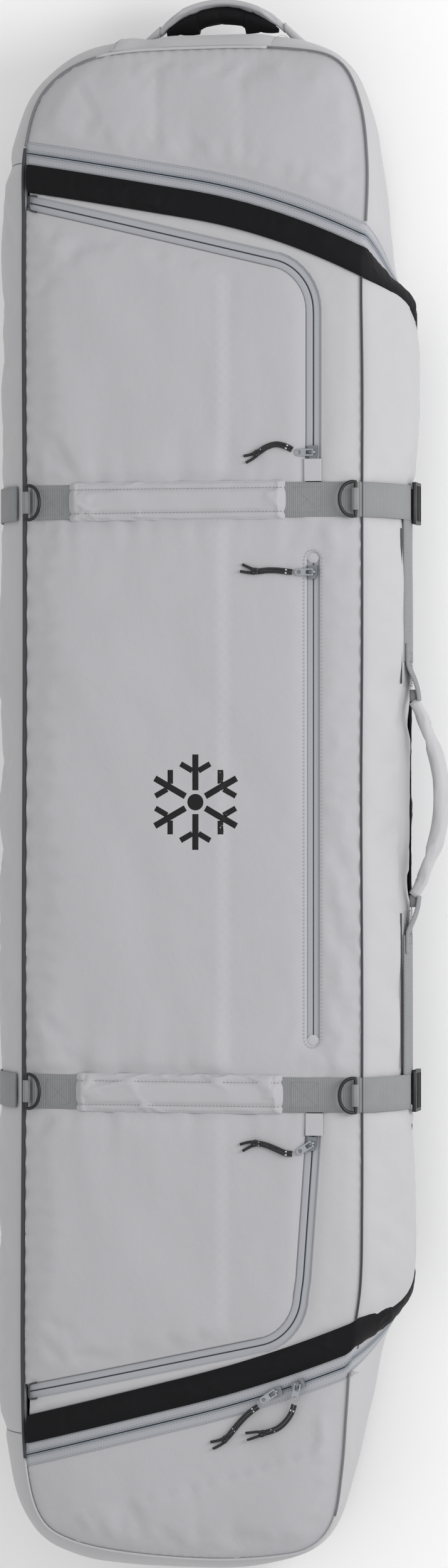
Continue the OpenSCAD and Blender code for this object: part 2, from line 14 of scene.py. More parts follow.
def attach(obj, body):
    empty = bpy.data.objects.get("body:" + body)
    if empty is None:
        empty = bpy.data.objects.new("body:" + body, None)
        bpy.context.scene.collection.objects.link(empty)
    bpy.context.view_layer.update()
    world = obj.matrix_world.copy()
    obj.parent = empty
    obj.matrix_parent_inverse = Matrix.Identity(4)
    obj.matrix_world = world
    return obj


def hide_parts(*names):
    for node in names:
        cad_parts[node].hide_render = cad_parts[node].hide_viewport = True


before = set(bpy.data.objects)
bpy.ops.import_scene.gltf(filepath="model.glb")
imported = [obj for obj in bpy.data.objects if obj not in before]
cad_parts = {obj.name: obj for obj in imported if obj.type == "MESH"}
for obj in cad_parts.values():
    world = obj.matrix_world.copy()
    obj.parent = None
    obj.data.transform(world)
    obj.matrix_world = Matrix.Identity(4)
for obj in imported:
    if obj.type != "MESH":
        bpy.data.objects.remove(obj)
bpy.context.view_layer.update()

MM = 0.001

# ---------------------------------------------------------------- dimensions

SEAM_Z = 190            # height of the front seam
BASE_Z = 8              # top of the back panel
CROWN = 13              # rise of the front over its seam
CROWN_REACH = 190       # distance from a seam at which the crown is full
ARC_HALF = (SEAM_Z - BASE_Z) / 2
ARC_Z = BASE_Z + ARC_HALF
PANEL = 8               # thickness of the padded fabric
TAPE_HALF = 12          # half the width of the main zip
POCKET_TAPE = 8.5       # half the width of a pocket's zip
BAND = 30               # width of the black band
WEB = 38                # width of the straps
STRAPS = {"upper": 325, "lower": -322}                      # middle of each strap along the bag
SLEEVES = {"upper": (-136, 108), "lower": (-128, 105)}      # both ends of each strap's sleeve
ZIP_X = 137             # straight run of the pocket zips
SLOT_HALF, SLOT_FOOT, SLOT_TOP = 7, -262, 261               # the centre pocket's slot
SIDE_ZIP_Z = 28         # height of the main zip on the right wall

# How far the walls bulge past the front seam.
LEFT = 44               # along the left side
RIGHT = 38              # along the right side
END = 22                # at the head and foot ends
FLAT = 10               # at the two slack corners on the right

# Plan of the front seam, clockwise from the middle of the right side.
# Each point is x, y, how far the wall bulges there, and how far its foot tucks in.
OUTLINE = [
    (189, 0, RIGHT, 0), (190, -200, RIGHT, 0), (190, -322, RIGHT, 0), (190, -440, RIGHT, 0),
    (188, -530, RIGHT, 0), (178, -600, END, 8), (173, -665, 18, 14), (168, -730, FLAT, 20),
    (158, -786, FLAT, 28), (132, -816, FLAT, 16), (90, -827, 16, 8), (20, -832, END, 6),
    (-70, -828, 26, 6), (-136, -816, 30, 6), (-171, -792, 34, 6), (-187, -735, 40, 4),
    (-191, -640, LEFT, 0), (-191, -500, LEFT, 0), (-190, -322, LEFT, 0), (-190, -150, LEFT, 0),
    (-189, 100, LEFT, 0), (-189, 325, LEFT, 0), (-190, 500, 40, 0), (-190, 630, 40, 0), (-188, 716, 34, 2),
    (-165, 780, 30, 4), (-104, 815, 26, 4), (6, 821, END, 4), (110, 817, END, 6), (164, 802, FLAT, 20),
    (188, 756, FLAT, 28), (196, 690, FLAT, 20), (194, 620, 16, 12), (190, 580, END, 6),
    (189, 545, RIGHT, 0), (190, 450, 44, 0), (190, 325, RIGHT, 0), (190, 160, RIGHT, 0),
]


def unit(d):
    return d / np.maximum(np.linalg.norm(d, axis=-1, keepdims=True), 1e-9)


def left_of(d):
    """Plan directions after a quarter turn to the left."""
    return np.stack([-d[..., 1], d[..., 0]], -1)


def lengths(line):
    """Distance of each point of a line from its start, along it."""
    return np.concatenate([[0], np.cumsum(np.linalg.norm(np.diff(line, axis=0), axis=1))])


def curve(a, b, c, d, samples):
    """Points of a smooth curve from b to c, short of c."""
    return [0.5 * (2 * b + (c - a) * t + (2 * a - 5 * b + 4 * c - d) * t * t
                   + (3 * b - a - 3 * c + d) * t ** 3)
            for t in (k / samples for k in range(samples))]


def catmull(points, samples):
    """A closed smooth curve through points, as rows of samples."""
    p = np.array(points, float)
    n = len(p)
    rows = []
    for i in range(n):
        rows += curve(p[i - 1], p[i], p[(i + 1) % n], p[(i + 2) % n], samples)
    return np.array(rows)


RIM = catmull(OUTLINE, 24)
RIM_STEP = np.linalg.norm(np.roll(RIM[:, :2], -1, 0) - RIM[:, :2], axis=1)
RIM_T = np.concatenate([[0], np.cumsum(RIM_STEP)])
RIM_LENGTH = RIM_T[-1]
RIM_LOOP = np.vstack([RIM, RIM[:1]])


def rim(t):
    """Plan point, bulge, tuck and outward normal of the seam at distance t along it."""
    t = np.mod(t, RIM_LENGTH)
    row = np.stack([np.interp(t, RIM_T, RIM_LOOP[:, k]) for k in range(4)], -1)
    ahead, behind = np.mod(t + 6, RIM_LENGTH), np.mod(t - 6, RIM_LENGTH)
    d = np.stack([np.interp(ahead, RIM_T, RIM_LOOP[:, k]) - np.interp(behind, RIM_T, RIM_LOOP[:, k])
                  for k in range(2)], -1)
    return row, left_of(unit(d))


def rim_t(side, y):
    """Distance along the seam of the point at y on the right (1) or left (-1)."""
    t = RIM_T[:-1].copy()
    if side > 0:
        keep = RIM[:, 0] > 100
        t[t > RIM_LENGTH / 2] -= RIM_LENGTH
    else:
        keep = RIM[:, 0] < -100
    ys, ts = RIM[keep, 1], t[keep]
    order = np.argsort(ys)
    return np.interp(y, ys[order], ts[order])


def head_t(x):
    """Distance along the seam of the point of the head end at x."""
    ts = np.linspace(rim_t(-1, 770), RIM_LENGTH + rim_t(1, 770), 200)
    return float(np.interp(x, rim(ts)[0][:, 0], ts))


def smooth(a, b, x):
    """A smooth step from 0 at a to 1 at b."""
    t = np.clip((np.asarray(x, float) - a) / (b - a), 0, 1)
    return t * t * (3 - 2 * t)


def rim_distance(xy):
    """How far plan points are from the seam, inside it."""
    out = np.empty(len(xy))
    loop = RIM[::3, :2]
    for i in range(0, len(xy), 4000):
        part = xy[i:i + 4000]
        out[i:i + 4000] = np.sqrt(((part[:, None] - loop[None]) ** 2).sum(-1).min(1))
    return out


def strap_dip(y):
    """The fabric is pulled down under each strap and swells a little beside it."""
    dip = np.zeros_like(y, float)
    for at in STRAPS.values():
        dip += -2.6 * np.exp(-((y - at) / 20) ** 4) + 1.2 * np.exp(-((np.abs(y - at) - 46) / 18) ** 2)
    return dip


def front_z(xy):
    """Height of the front face at plan points."""
    d = np.minimum(rim_distance(xy), CROWN_REACH)
    return SEAM_Z + CROWN * (1 - (1 - d / CROWN_REACH) ** 4) + strap_dip(xy[:, 1]) * smooth(0, 40, d)


def front(xy, o):
    """The front face: plan points and heights over it."""
    xy = np.asarray(xy, float)
    return np.column_stack([xy, front_z(xy) + o])


def wall(tz, o):
    """The side wall: distance along the seam, height, and how far out of the face."""
    tz = np.asarray(tz, float)
    row, normal = rim(tz[:, 0])
    z = tz[:, 1]
    bulge = np.maximum(row[:, 2], 4)
    r = (ARC_HALF ** 2 + bulge ** 2) / (2 * bulge)
    up = z - ARC_Z
    out = np.sqrt(np.maximum(r * r - up * up, 1))
    b = out - (r - bulge) - row[:, 3] * (1 - np.clip(z / SEAM_Z, 0, 1))
    o = np.asarray(o, float)
    plan = row[:, :2] + normal * (b + o * out / r)[:, None]
    return np.column_stack([plan, z + o * up / r])


def right_wall(yz, o):
    """The right wall by place y along the bag and height."""
    yz = np.asarray(yz, float)
    return wall(np.column_stack([rim_t(1, yz[:, 0]), yz[:, 1]]), o)


def left_wall(yz, o):
    """The left wall by place y along the bag and height."""
    yz = np.asarray(yz, float)
    return wall(np.column_stack([rim_t(-1, yz[:, 0]), yz[:, 1]]), o)


def girth(y):
    """The bag's section at y, from the foot of the left wall over the front to the foot of the right wall."""
    steps = 260
    z = np.linspace(BASE_Z, SEAM_Z - 3, 60)
    left = left_wall(np.column_stack([np.full(60, y), z]), np.zeros(60))
    right = right_wall(np.column_stack([np.full(60, y), z[::-1]]), np.zeros(60))
    x = np.linspace(left[-1, 0] + 5, right[0, 0] - 5, 110)
    top = front(np.column_stack([x, np.full(110, y)]), 0)
    line = np.vstack([left, top, right])[:, [0, 2]]
    for _ in range(3):
        line[1:-1] = 0.25 * line[:-2] + 0.5 * line[1:-1] + 0.25 * line[2:]
    s = lengths(line)
    grid = np.linspace(0, s[-1], steps)
    line = np.column_stack([np.interp(grid, s, line[:, k]) for k in range(2)])
    return grid, line


class Girth:
    """A chart that wraps a strap round the bag: distance from the middle of the front, and height."""

    def __init__(self, y):
        s, self.line = girth(y)
        self.normal = left_of(unit(np.gradient(self.line, axis=0)))
        top = int(np.argmin(np.abs(self.line[:, 0]) + (self.line[:, 1] < 150) * 999))
        self.s = s - s[top]

    def at_x(self, x):
        """Distance along the strap of the place on the front at x."""
        on_top = self.line[:, 1] > SEAM_Z - 4
        return float(np.interp(x, self.line[on_top, 0], self.s[on_top]))

    def at_z(self, side, z):
        """Distance along the strap of the place on a side wall at height z."""
        keep = (self.line[:, 0] * side > 150) & (self.line[:, 1] < SEAM_Z - 2)
        zs, ss = self.line[keep, 1], self.s[keep]
        order = np.argsort(zs)
        return float(np.interp(z, zs[order], ss[order]))

    def __call__(self, sy, o):
        sy = np.asarray(sy, float)
        p = np.column_stack([np.interp(sy[:, 0], self.s, self.line[:, k]) for k in range(2)])
        n = np.column_stack([np.interp(sy[:, 0], self.s, self.normal[:, k]) for k in range(2)])
        o = np.asarray(o, float)[:, None] if np.ndim(o) else o
        p = p + n * o
        return np.column_stack([p[:, 0], sy[:, 1], p[:, 1]])


# ---------------------------------------------------------------- lines of the zips


def head_line(x):
    """Middle of the main zip across the head."""
    return 676 - 0.186 * x - 0.00077 * np.maximum(x, 0) ** 2


def foot_line(x):
    """Middle of the main zip across the foot."""
    return -674 + 0.264 * x + 0.00038 * np.maximum(x, 0) ** 2


def side_edge(y, o):
    """Height on the right wall of a line offset from the main zip, which climbs at both ends."""
    climb = np.maximum(np.abs(y) - 488, 0)
    return SIDE_ZIP_Z + 0.0104 * climb ** 2 + o * np.sqrt(1 + (0.0208 * climb) ** 2)


def upper_line(x):
    """Middle of the upper pocket's zip as it crosses the bag."""
    return 610 - 0.25 * x


def lower_line(x):
    """Middle of the lower pocket's zip as it crosses the bag."""
    return -613 + 0.221 * x


def lower_run_x(y):
    """Middle of the lower pocket's zip as it runs along the bag."""
    return ZIP_X + 0.07 * (y + 365)


def pocket_path(up):
    """The middle of a pocket's zip, from the left seam round its corner to the strap."""
    line = upper_line if up else lower_line
    s = 1 if up else -1
    run = ZIP_X if up else lower_run_x(-560)
    end_x = run - 46
    pts = [(x, line(x)) for x in np.linspace(-184, end_x, 14)]
    corner_y = line(end_x)
    for a in np.linspace(0, math.pi / 2, 10)[1:]:
        pts.append((end_x + 46 * math.sin(a), corner_y - s * (50 * (1 - math.cos(a)) + 6 * math.sin(a))))
    y0 = pts[-1][1]
    y1 = STRAPS["upper" if up else "lower"]
    for y in np.linspace(y0, y1, 14)[1:]:
        pts.append((ZIP_X if up else lower_run_x(y), y))
    return np.array(pts)


# ---------------------------------------------------------------- meshes

pieces = {}
plans = {}              # for each panel, its plan points and their distances from its edges


def make(name, verts, faces, material, uv=None, under=None, under_faces=0):
    """A mesh object from millimetre points. The last under_faces faces take the under material."""
    mesh = bpy.data.meshes.new(name)
    mesh.from_pydata([tuple(float(c) * MM for c in v) for v in verts], [], [tuple(f) for f in faces])
    mesh.materials.append(material)
    if under is not None:
        mesh.materials.append(under)
        index = np.zeros(len(mesh.polygons), np.int32)
        index[len(index) - under_faces:] = 1
        mesh.polygons.foreach_set("material_index", index)
    if uv is not None:
        layer = mesh.uv_layers.new(name="UVMap")
        corners = np.empty(len(mesh.loops), np.int32)
        mesh.loops.foreach_get("vertex_index", corners)
        layer.data.foreach_set("uv", (np.asarray(uv, float)[corners] * MM).ravel())
    mesh.polygons.foreach_set("use_smooth", np.ones(len(mesh.polygons), bool))
    mesh.validate()
    obj = bpy.data.objects.new(name, mesh)
    bpy.context.scene.collection.objects.link(obj)
    pieces[name] = obj
    return obj


def settle(obj, body, node=None):
    """Rides a body and hides the CAD parts that it replaces, in one call."""
    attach(obj, body)
    if node:
        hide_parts(*([node] if isinstance(node, str) else node))
    return obj


def resample(loop, step):
    """Points a step apart along a closed loop, keeping its own corners."""
    out = []
    n = len(loop)
    for i in range(n):
        a, b = np.array(loop[i], float), np.array(loop[(i + 1) % n], float)
        k = max(1, int(round(np.linalg.norm(b - a) / step)))
        out += [a + (b - a) * j / k for j in range(k)]
    return np.array(out)


def inside(points, loop):
    """Which points lie inside a closed loop."""
    x, y = points[:, 0], points[:, 1]
    hit = np.zeros(len(points), bool)
    a, b = loop, np.roll(loop, -1, 0)
    for (x1, y1), (x2, y2) in zip(a, b):
        if y1 == y2:
            continue
        cross = ((y1 > y) != (y2 > y)) & (x < (x2 - x1) * (y - y1) / (y2 - y1) + x1)
        hit ^= cross
    return hit


def loop_distance(points, loops):
    """Distance from each point to the nearest loop segment."""
    best = np.full(len(points), 1e9)
    for loop in loops:
        a, b = loop, np.roll(loop, -1, 0)
        for p, q in zip(a, b):
            d = q - p
            length = max(float(d @ d), 1e-9)
            t = np.clip(((points - p) @ d) / length, 0, 1)
            best = np.minimum(best, np.linalg.norm(points - p - t[:, None] * d, axis=1))
    return best


def loop_normal(loop):
    """Directions into a closed loop that runs anticlockwise."""
    return left_of(unit(np.roll(loop, -1, 0) - np.roll(loop, 1, 0)))


def signed_area(loop):
    a, b = loop, np.roll(loop, -1, 0)
    return 0.5 * float((a[:, 0] * b[:, 1] - b[:, 0] * a[:, 1]).sum())


def fabric_noise(p, scale, seed=0.0):
    """Soft noise from -1 to 1 at plan points; scale is the size of a bump in x and y."""
    return np.array([noise.noise((x / scale[0], y / scale[1], seed)) for x, y in p])


def cord_room(p):
    """1 on the front where straps lie or cords lie and slide, and the fabric may not stand up; else 0."""
    x, y = p[:, 0], p[:, 1]
    strap = sum(1 - smooth(21, 28, np.abs(y - at)) for at in STRAPS.values())
    beside = smooth(30, 50, x) * smooth(142, 128, x) * smooth(600, 560, np.abs(y))
    under_zip = foot_line(x) - y
    tail = smooth(-10, 4, under_zip) * smooth(90, 60, under_zip) * smooth(150, 130, x)
    return np.maximum(strap, np.maximum(beside, tail))


def creases(p, d, seed):
    """Height of the fabric's slack: long soft waves, and short folds that start square to the edges."""
    fade = smooth(2, 16, d)
    slant = np.column_stack([p[:, 0] + 0.55 * p[:, 1], p[:, 1] - 0.55 * p[:, 0]])
    soft = 2.1 * fabric_noise(slant, (70, 190), seed) + 1.1 * fabric_noise(p, (40, 85), seed + 5)
    near_strap = np.zeros(len(p))
    for at in STRAPS.values():
        near_strap += np.exp(-np.maximum(np.abs(p[:, 1] - at) - WEB / 2, 0) / 30)
    strap_folds = 3.0 * near_strap * fabric_noise(p, (15, 110), seed + 9)
    edge_folds = 1.3 * np.exp(-d / 26) * fabric_noise(p, (16, 16), seed + 3)
    return fade * (soft + strap_folds + edge_folds)


CLOTH_STEPS = 20        # frames that a piece of fabric is given to settle
CLOTH_PRESSURE = 4.0
CLOTH_MASS = 0.004


def billow(obj, hold, grow, most, calm=None, ceiling=None):
    """Lets fabric settle over its fill. It is cut a little bigger than its frame, by grow, and is sewn down
    where hold says. The most it moves is in millimetres, calm scales that down point by point, and where
    ceiling is true it may only sink."""
    mesh = obj.data
    rest = np.empty(len(mesh.vertices) * 3)
    mesh.vertices.foreach_get("co", rest)
    rest = rest.reshape(-1, 3)
    sewn = obj.vertex_groups.new(name="sewn")
    sewn.add([int(i) for i in np.flatnonzero(hold)], 1.0, "REPLACE")
    cloth = obj.modifiers.new("cloth", "CLOTH")
    cloth.settings.quality = 6
    cloth.settings.mass = CLOTH_MASS
    cloth.settings.tension_stiffness = cloth.settings.compression_stiffness = 8
    cloth.settings.shear_stiffness = 3
    cloth.settings.bending_stiffness = 0.05
    cloth.settings.vertex_group_mass = "sewn"
    cloth.settings.shrink_min = -grow
    cloth.settings.use_pressure = True
    cloth.settings.uniform_pressure_force = CLOTH_PRESSURE
    cloth.settings.effector_weights.gravity = 0
    cloth.collision_settings.use_collision = False
    cloth.point_cache.frame_start, cloth.point_cache.frame_end = 1, CLOTH_STEPS
    for step in range(1, CLOTH_STEPS + 1):
        bpy.context.scene.frame_set(step)
    settled = obj.evaluated_get(bpy.context.evaluated_depsgraph_get())
    now = np.empty(rest.size)
    settled.data.vertices.foreach_get("co", now)
    move = now.reshape(-1, 3) - rest
    far = np.linalg.norm(move, axis=1, keepdims=True)
    move *= np.minimum(1, most * MM / np.maximum(far, 1e-9))
    if calm is not None:
        move *= np.asarray(calm, float)[:, None]
    if ceiling is not None:
        move[ceiling, 2] = np.minimum(move[ceiling, 2], 0)
    obj.modifiers.remove(cloth)
    obj.vertex_groups.remove(sewn)
    mesh.vertices.foreach_set("co", (rest + move).ravel())
    mesh.update()
    bpy.context.scene.frame_set(1)


def inside_cut(points, loops):
    """Which points lie inside the first loop and in none of the others."""
    keep = inside(points, loops[0])
    for hole in loops[1:]:
        keep &= ~inside(points, hole)
    return keep


def fill(loops, spacing):
    """Plan points and anticlockwise triangles that fill the first loop, less the others."""
    points, edges = [], []
    for loop in loops:
        first = len(points)
        points += list(loop)
        edges += [(first + i, first + (i + 1) % len(loop)) for i in range(len(loop))]
    extra = []
    for loop in loops:
        for off in (1.4, 3.6, 7.0):
            q = loop + loop_normal(loop) * off
            extra.append(q[loop_distance(q, loops) > off * 0.93])
    low, high = loops[0].min(0), loops[0].max(0)
    grid = np.array([(x, y) for j, y in enumerate(np.arange(low[1], high[1], spacing * 0.87))
                     for x in np.arange(low[0] + (j % 2) * spacing / 2, high[0], spacing)])
    extra = np.vstack(extra + [grid[loop_distance(grid, loops) > 10.5]])
    points = np.vstack([np.array(points), extra[inside_cut(extra, loops)]])
    out = geometry.delaunay_2d_cdt([Vector(p) for p in points], edges, [], 0, 1e-4)
    flat = np.array([tuple(v) for v in out[0]])
    tris = np.array([f for f in out[2] if len(f) == 3])
    used, tris = np.unique(tris[inside_cut(flat[tris].mean(1), loops)], return_inverse=True)
    tris, flat = tris.reshape(-1, 3), flat[used]
    ab, ac = flat[tris[:, 1]] - flat[tris[:, 0]], flat[tris[:, 2]] - flat[tris[:, 0]]
    flip = ab[:, 0] * ac[:, 1] - ab[:, 1] * ac[:, 0] < 0
    tris[flip] = tris[flip][:, ::-1]
    return flat, tris


def open_edges(tris):
    """The directed edges that only one triangle has."""
    edges = {}
    for a, b, c in tris.tolist():
        for edge in ((a, b), (b, c), (c, a)):
            edges[edge] = True
    return [(a, b) for a, b in edges if (b, a) not in edges]


def panel(name, chart, loops, material, under=None, lift=0.0, thick=PANEL, edge=2.6, roll=7.0, spacing=7.0,
          seed=0.0, slack=1.0, shape=None):
    """A padded piece of fabric cut to the first loop, less the others. Its edges roll down into the seam."""
    loops = [resample(loop, spacing * 0.7) for loop in loops]
    loops[0] = loops[0] if signed_area(loops[0]) > 0 else loops[0][::-1]
    loops[1:] = [h if signed_area(h) < 0 else h[::-1] for h in loops[1:]]
    flat, tris = fill(loops, spacing)
    d = loop_distance(flat, loops)
    plans[name] = (flat, d)
    top = lift - edge * np.exp(-(d / roll) ** 1.6)
    waves = slack * creases(flat, d, seed)
    top += np.where(waves > 0, waves * (1 - cord_room(flat)), waves) if chart is front else waves
    if shape is not None:
        top += shape(flat, d)
    upper, lower = chart(flat, top), chart(flat, np.minimum(lift - thick, top - 1.0))
    n = len(flat)
    faces = [tuple(t) for t in tris.tolist()]
    below = [tuple(i + n for i in t[::-1]) for t in faces]
    faces += [(q, p, p + n, q + n) for p, q in open_edges(tris)]
    across = np.cross(upper[tris[:, 1]] - upper[tris[:, 0]], upper[tris[:, 2]] - upper[tris[:, 0]])
    if (across * (upper[tris].mean(1) - lower[tris].mean(1))).sum() < 0:
        faces, below = [f[::-1] for f in faces], [f[::-1] for f in below]
    return make(name, np.vstack([upper, lower]), faces + below, material, np.vstack([flat, flat]), under,
                len(below))


def along(path, step):
    """Points and unit tangents a step apart along an open path in a chart."""
    p = np.array(path, float)
    s = lengths(p)
    n = max(2, int(math.ceil(s[-1] / step)) + 1)
    grid = np.linspace(0, s[-1], n)
    q = np.column_stack([np.interp(grid, s, p[:, k]) for k in range(2)])
    for _ in range(2):
        q[1:-1] = 0.25 * q[:-2] + 0.5 * q[1:-1] + 0.25 * q[2:]
    return q, unit(np.gradient(q, axis=0)), grid


def fix_normals(obj):
    """Turns an object's faces outward, and returns it."""
    bm = bmesh.new()
    bm.from_mesh(obj.data)
    bmesh.ops.recalc_face_normals(bm, faces=bm.faces)
    bm.to_mesh(obj.data)
    bm.free()
    return obj


def make_rings(name, verts, sides, material, uv, closed=False):
    """A skin over rings of points, one after the other. Its ends are capped unless it closes on itself."""
    rings = len(verts) // sides
    faces = []
    for i in range(rings if closed else rings - 1):
        for k in range(sides):
            j, m = (i + 1) % rings, (k + 1) % sides
            faces.append((i * sides + k, i * sides + m, j * sides + m, j * sides + k))
    if not closed:
        faces.append(tuple(range(sides))[::-1])
        faces.append(tuple((rings - 1) * sides + k for k in range(sides)))
    return fix_normals(make(name, verts, faces, material, uv))


def swept_uv(s, profile):
    """Texture places for a profile swept to distances s: along, and round the profile."""
    return np.column_stack([np.repeat(s, len(profile)), np.tile(lengths(profile), len(s))])


def ribbon(name, chart, path, profile, material, step=5.0, swell=None, wave=None):
    """Sweeps a closed profile of (across, over) points along a path in a chart.
    swell(s, length) scales the profile's height, and wave(s, across) adds to it."""
    q, d, s = along(path, step)
    across = left_of(d)
    prof = np.array(profile, float)
    n = len(q)
    scale = np.ones(n) if swell is None else swell(s, s[-1])
    flat = (q[:, None] + across[:, None] * prof[None, :, :1]).reshape(-1, 2)
    height = prof[None, :, 1] * scale[:, None]
    if wave is not None:
        lifted = np.where(prof[None, :, 1] > prof[:, 1].mean(), 1.0, 0.0)
        height = height + lifted * wave(s[:, None], prof[None, :, 0])
    return make_rings(name, chart(flat, height.ravel()), len(prof), material, swept_uv(s, prof))


def flat_profile(width, low, high, edge=0.5):
    """A flat strip with softened edges."""
    w = width / 2
    return [(-w, low + edge), (-w + edge, low), (w - edge, low), (w, low + edge), (w, high - edge),
            (w - edge, high), (w / 2, high), (0, high), (-w / 2, high), (-w + edge, high), (-w, high - edge)]


def cushion_profile(width, low, high, n=18, power=2.6):
    """Flat underneath, and swelling between two pinched edges."""
    w = width / 2
    up = [(w * math.cos(math.pi * k / n), high * abs(math.sin(math.pi * k / n)) ** (2 / power))
          for k in range(n + 1)]
    return [(-w, low), (w, low)] + up


def tube(name, points, radius, material, sides=10, closed=False):
    """A round tube along 3-D points in millimetres."""
    p = np.array(points, float)
    n = len(p)
    d = unit(np.roll(p, -1, 0) - np.roll(p, 1, 0) if closed else np.gradient(p, axis=0))
    u = np.cross(d[0], (0.0, 0.0, 1.0))
    if np.linalg.norm(u) < 0.1:
        u = np.cross(d[0], (0.0, 1.0, 0.0))
    u /= np.linalg.norm(u)
    frames = []
    for i in range(n):
        u = u - d[i] * (u @ d[i])
        u /= np.linalg.norm(u)
        frames.append((u, np.cross(d[i], u)))
    s = lengths(p)
    verts, uv = [], []
    for i, (u, v) in enumerate(frames):
        for k in range(sides):
            a = 2 * math.pi * k / sides
            verts.append(p[i] + radius * (math.cos(a) * u + math.sin(a) * v))
            uv.append((s[i], radius * a))
    return make_rings(name, verts, sides, material, uv, closed)


def spline3(route, samples=6):
    """An open smooth curve through 3-D points."""
    p = np.array(route, float)
    last = len(p) - 1
    out = []
    for i in range(last):
        out += curve(p[max(i - 1, 0)], p[i], p[i + 1], p[min(i + 2, last)], samples)
    return np.array(out + [p[-1]])


def stitches(name, chart, paths, material, pitch=4.0, length=2.6, over=0.2):
    """Rows of thread: one small pillow per stitch along each path."""
    width, height = 0.75, 0.5
    flat, top, faces = [], [], []
    for path in paths:
        q, d, _ = along(path, pitch)
        for c, t in zip(q, d):
            n = np.array([-t[1], t[0]])
            base = len(flat)
            for a, b, h in ((-1, 0, 0), (-0.6, -1, 0), (0.6, -1, 0), (1, 0, 0), (0.6, 1, 0), (-0.6, 1, 0),
                            (-0.55, 0, 1), (0.55, 0, 1)):
                flat.append(c + t * a * length / 2 + n * b * width / 2)
                top.append(over + h * height)
            f = [(0, 1, 6), (1, 2, 7, 6), (2, 3, 7), (3, 4, 7), (4, 5, 6, 7), (5, 0, 6), (5, 4, 3, 2, 1, 0)]
            faces += [tuple(base + i for i in face) for face in f]
    return fix_normals(make(name, chart(np.array(flat), np.array(top)), faces, material, np.array(flat)))


def join(name, objs):
    """Joins pieces made here into one."""
    bm = bmesh.new()
    mats = []
    for o in objs:
        start = len(bm.faces)
        bm.from_mesh(o.data)
        bm.faces.ensure_lookup_table()
        base = list(o.data.materials)
        for f in bm.faces[start:]:
            m = base[f.material_index]
            if m not in mats:
                mats.append(m)
            f.material_index = mats.index(m)
    mesh = bpy.data.meshes.new(name)
    bm.to_mesh(mesh)
    bm.free()
    for m in mats:
        mesh.materials.append(m)
    for o in objs:
        old = o.data
        pieces.pop(o.name, None)
        bpy.data.objects.remove(o)
        bpy.data.meshes.remove(old)
    obj = bpy.data.objects.new(name, mesh)
    bpy.context.scene.collection.objects.link(obj)
    pieces[name] = obj
    return obj


def crisp(obj):
    """Shades a small flat piece face by face, so that its edges stay sharp."""
    obj.data.polygons.foreach_set("use_smooth", np.zeros(len(obj.data.polygons), bool))
    return obj


# ---------------------------------------------------------------- materials


class Nodes:
    """A short way to write a node material."""

    def __init__(self, name):
        self.material = bpy.data.materials.new(name)
        self.material.use_nodes = True
        self.tree = self.material.node_tree
        self.shader = self.tree.nodes["Principled BSDF"]

    def add(self, kind, inputs=None, **props):
        node = self.tree.nodes.new("ShaderNode" + kind)
        for key, value in props.items():
            setattr(node, key, value)
        for key, value in (inputs or {}).items():
            if isinstance(value, bpy.types.NodeSocket):
                self.tree.links.new(value, node.inputs[key])
            else:
                node.inputs[key].default_value = value
        return node

    def math(self, op, a, b):
        return self.add("Math", {0: a, 1: b}, operation=op).outputs[0]

    def set(self, **values):
        for key, value in values.items():
            socket = self.shader.inputs[key.replace("_", " ")]
            if isinstance(value, bpy.types.NodeSocket):
                self.tree.links.new(value, socket)
            else:
                socket.default_value = value

    def bump(self, height, strength, distance, after=None):
        inputs = {"Height": height, "Strength": strength, "Distance": distance}
        if after is not None:
            inputs["Normal"] = after
        return self.add("Bump", inputs).outputs["Normal"]


def shade(nodes, colour, dark, fac):
    """A colour that goes from dark to full with a factor."""
    ramp = nodes.add("ValToRGB", {"Fac": fac})
    ramp.color_ramp.elements[0].color = (*dark, 1)
    ramp.color_ramp.elements[1].color = (*colour, 1)
    return ramp.outputs["Color"]


def scaled(colour, k):
    return tuple(c * k for c in colour)


def per_pitch(pitch):
    """The wave texture's scale for one wave per pitch, in millimetres."""
    return 2 * math.pi / (20 * pitch * MM)


def woven(name, colour, pitch=0.8, rough=0.8, sheen=0.15, depth=0.08, mottle=0.05, crumple=0.25, gloss=0.35):
    """Coated plain weave: warp and weft threads a pitch apart, soft mottling and fine creases."""
    n = Nodes(name)
    uv = n.add("TexCoord").outputs["UV"]
    obj = n.add("TexCoord").outputs["Object"]
    warp, weft = (n.add("TexWave", {"Vector": uv, "Scale": per_pitch(pitch), "Distortion": 0.6,
                                    "Detail": 1.0, "Detail Scale": 2.0},
                        wave_type="BANDS", bands_direction=axis) for axis in "XY")
    weave = n.math("MULTIPLY", warp.outputs["Fac"], weft.outputs["Fac"])
    cloud = n.add("TexNoise", {"Vector": obj, "Scale": 9.0, "Detail": 5.0, "Roughness": 0.6})
    grain = n.add("TexNoise", {"Vector": obj, "Scale": 420.0, "Detail": 3.0, "Roughness": 0.7})
    fold = n.add("TexNoise", {"Vector": obj, "Scale": 34.0, "Detail": 4.0, "Roughness": 0.55,
                              "Distortion": 0.4})
    mix = n.math("ADD", n.math("MULTIPLY", cloud.outputs["Fac"], 0.7),
                 n.math("MULTIPLY", n.math("ADD", weave, grain.outputs["Fac"]), 0.15))
    n.set(Base_Color=shade(n, scaled(colour, 1 + mottle), scaled(colour, 1 - mottle), mix))
    n.set(Roughness=n.math("ADD", n.math("MULTIPLY", grain.outputs["Fac"], 0.12), rough - 0.06))
    creased = n.bump(fold.outputs["Fac"], crumple, 0.004)
    n.set(Normal=n.bump(weave, depth, 0.0004, creased))
    n.set(Sheen_Weight=sheen, Sheen_Roughness=0.5, Specular_IOR_Level=gloss)
    return n.material


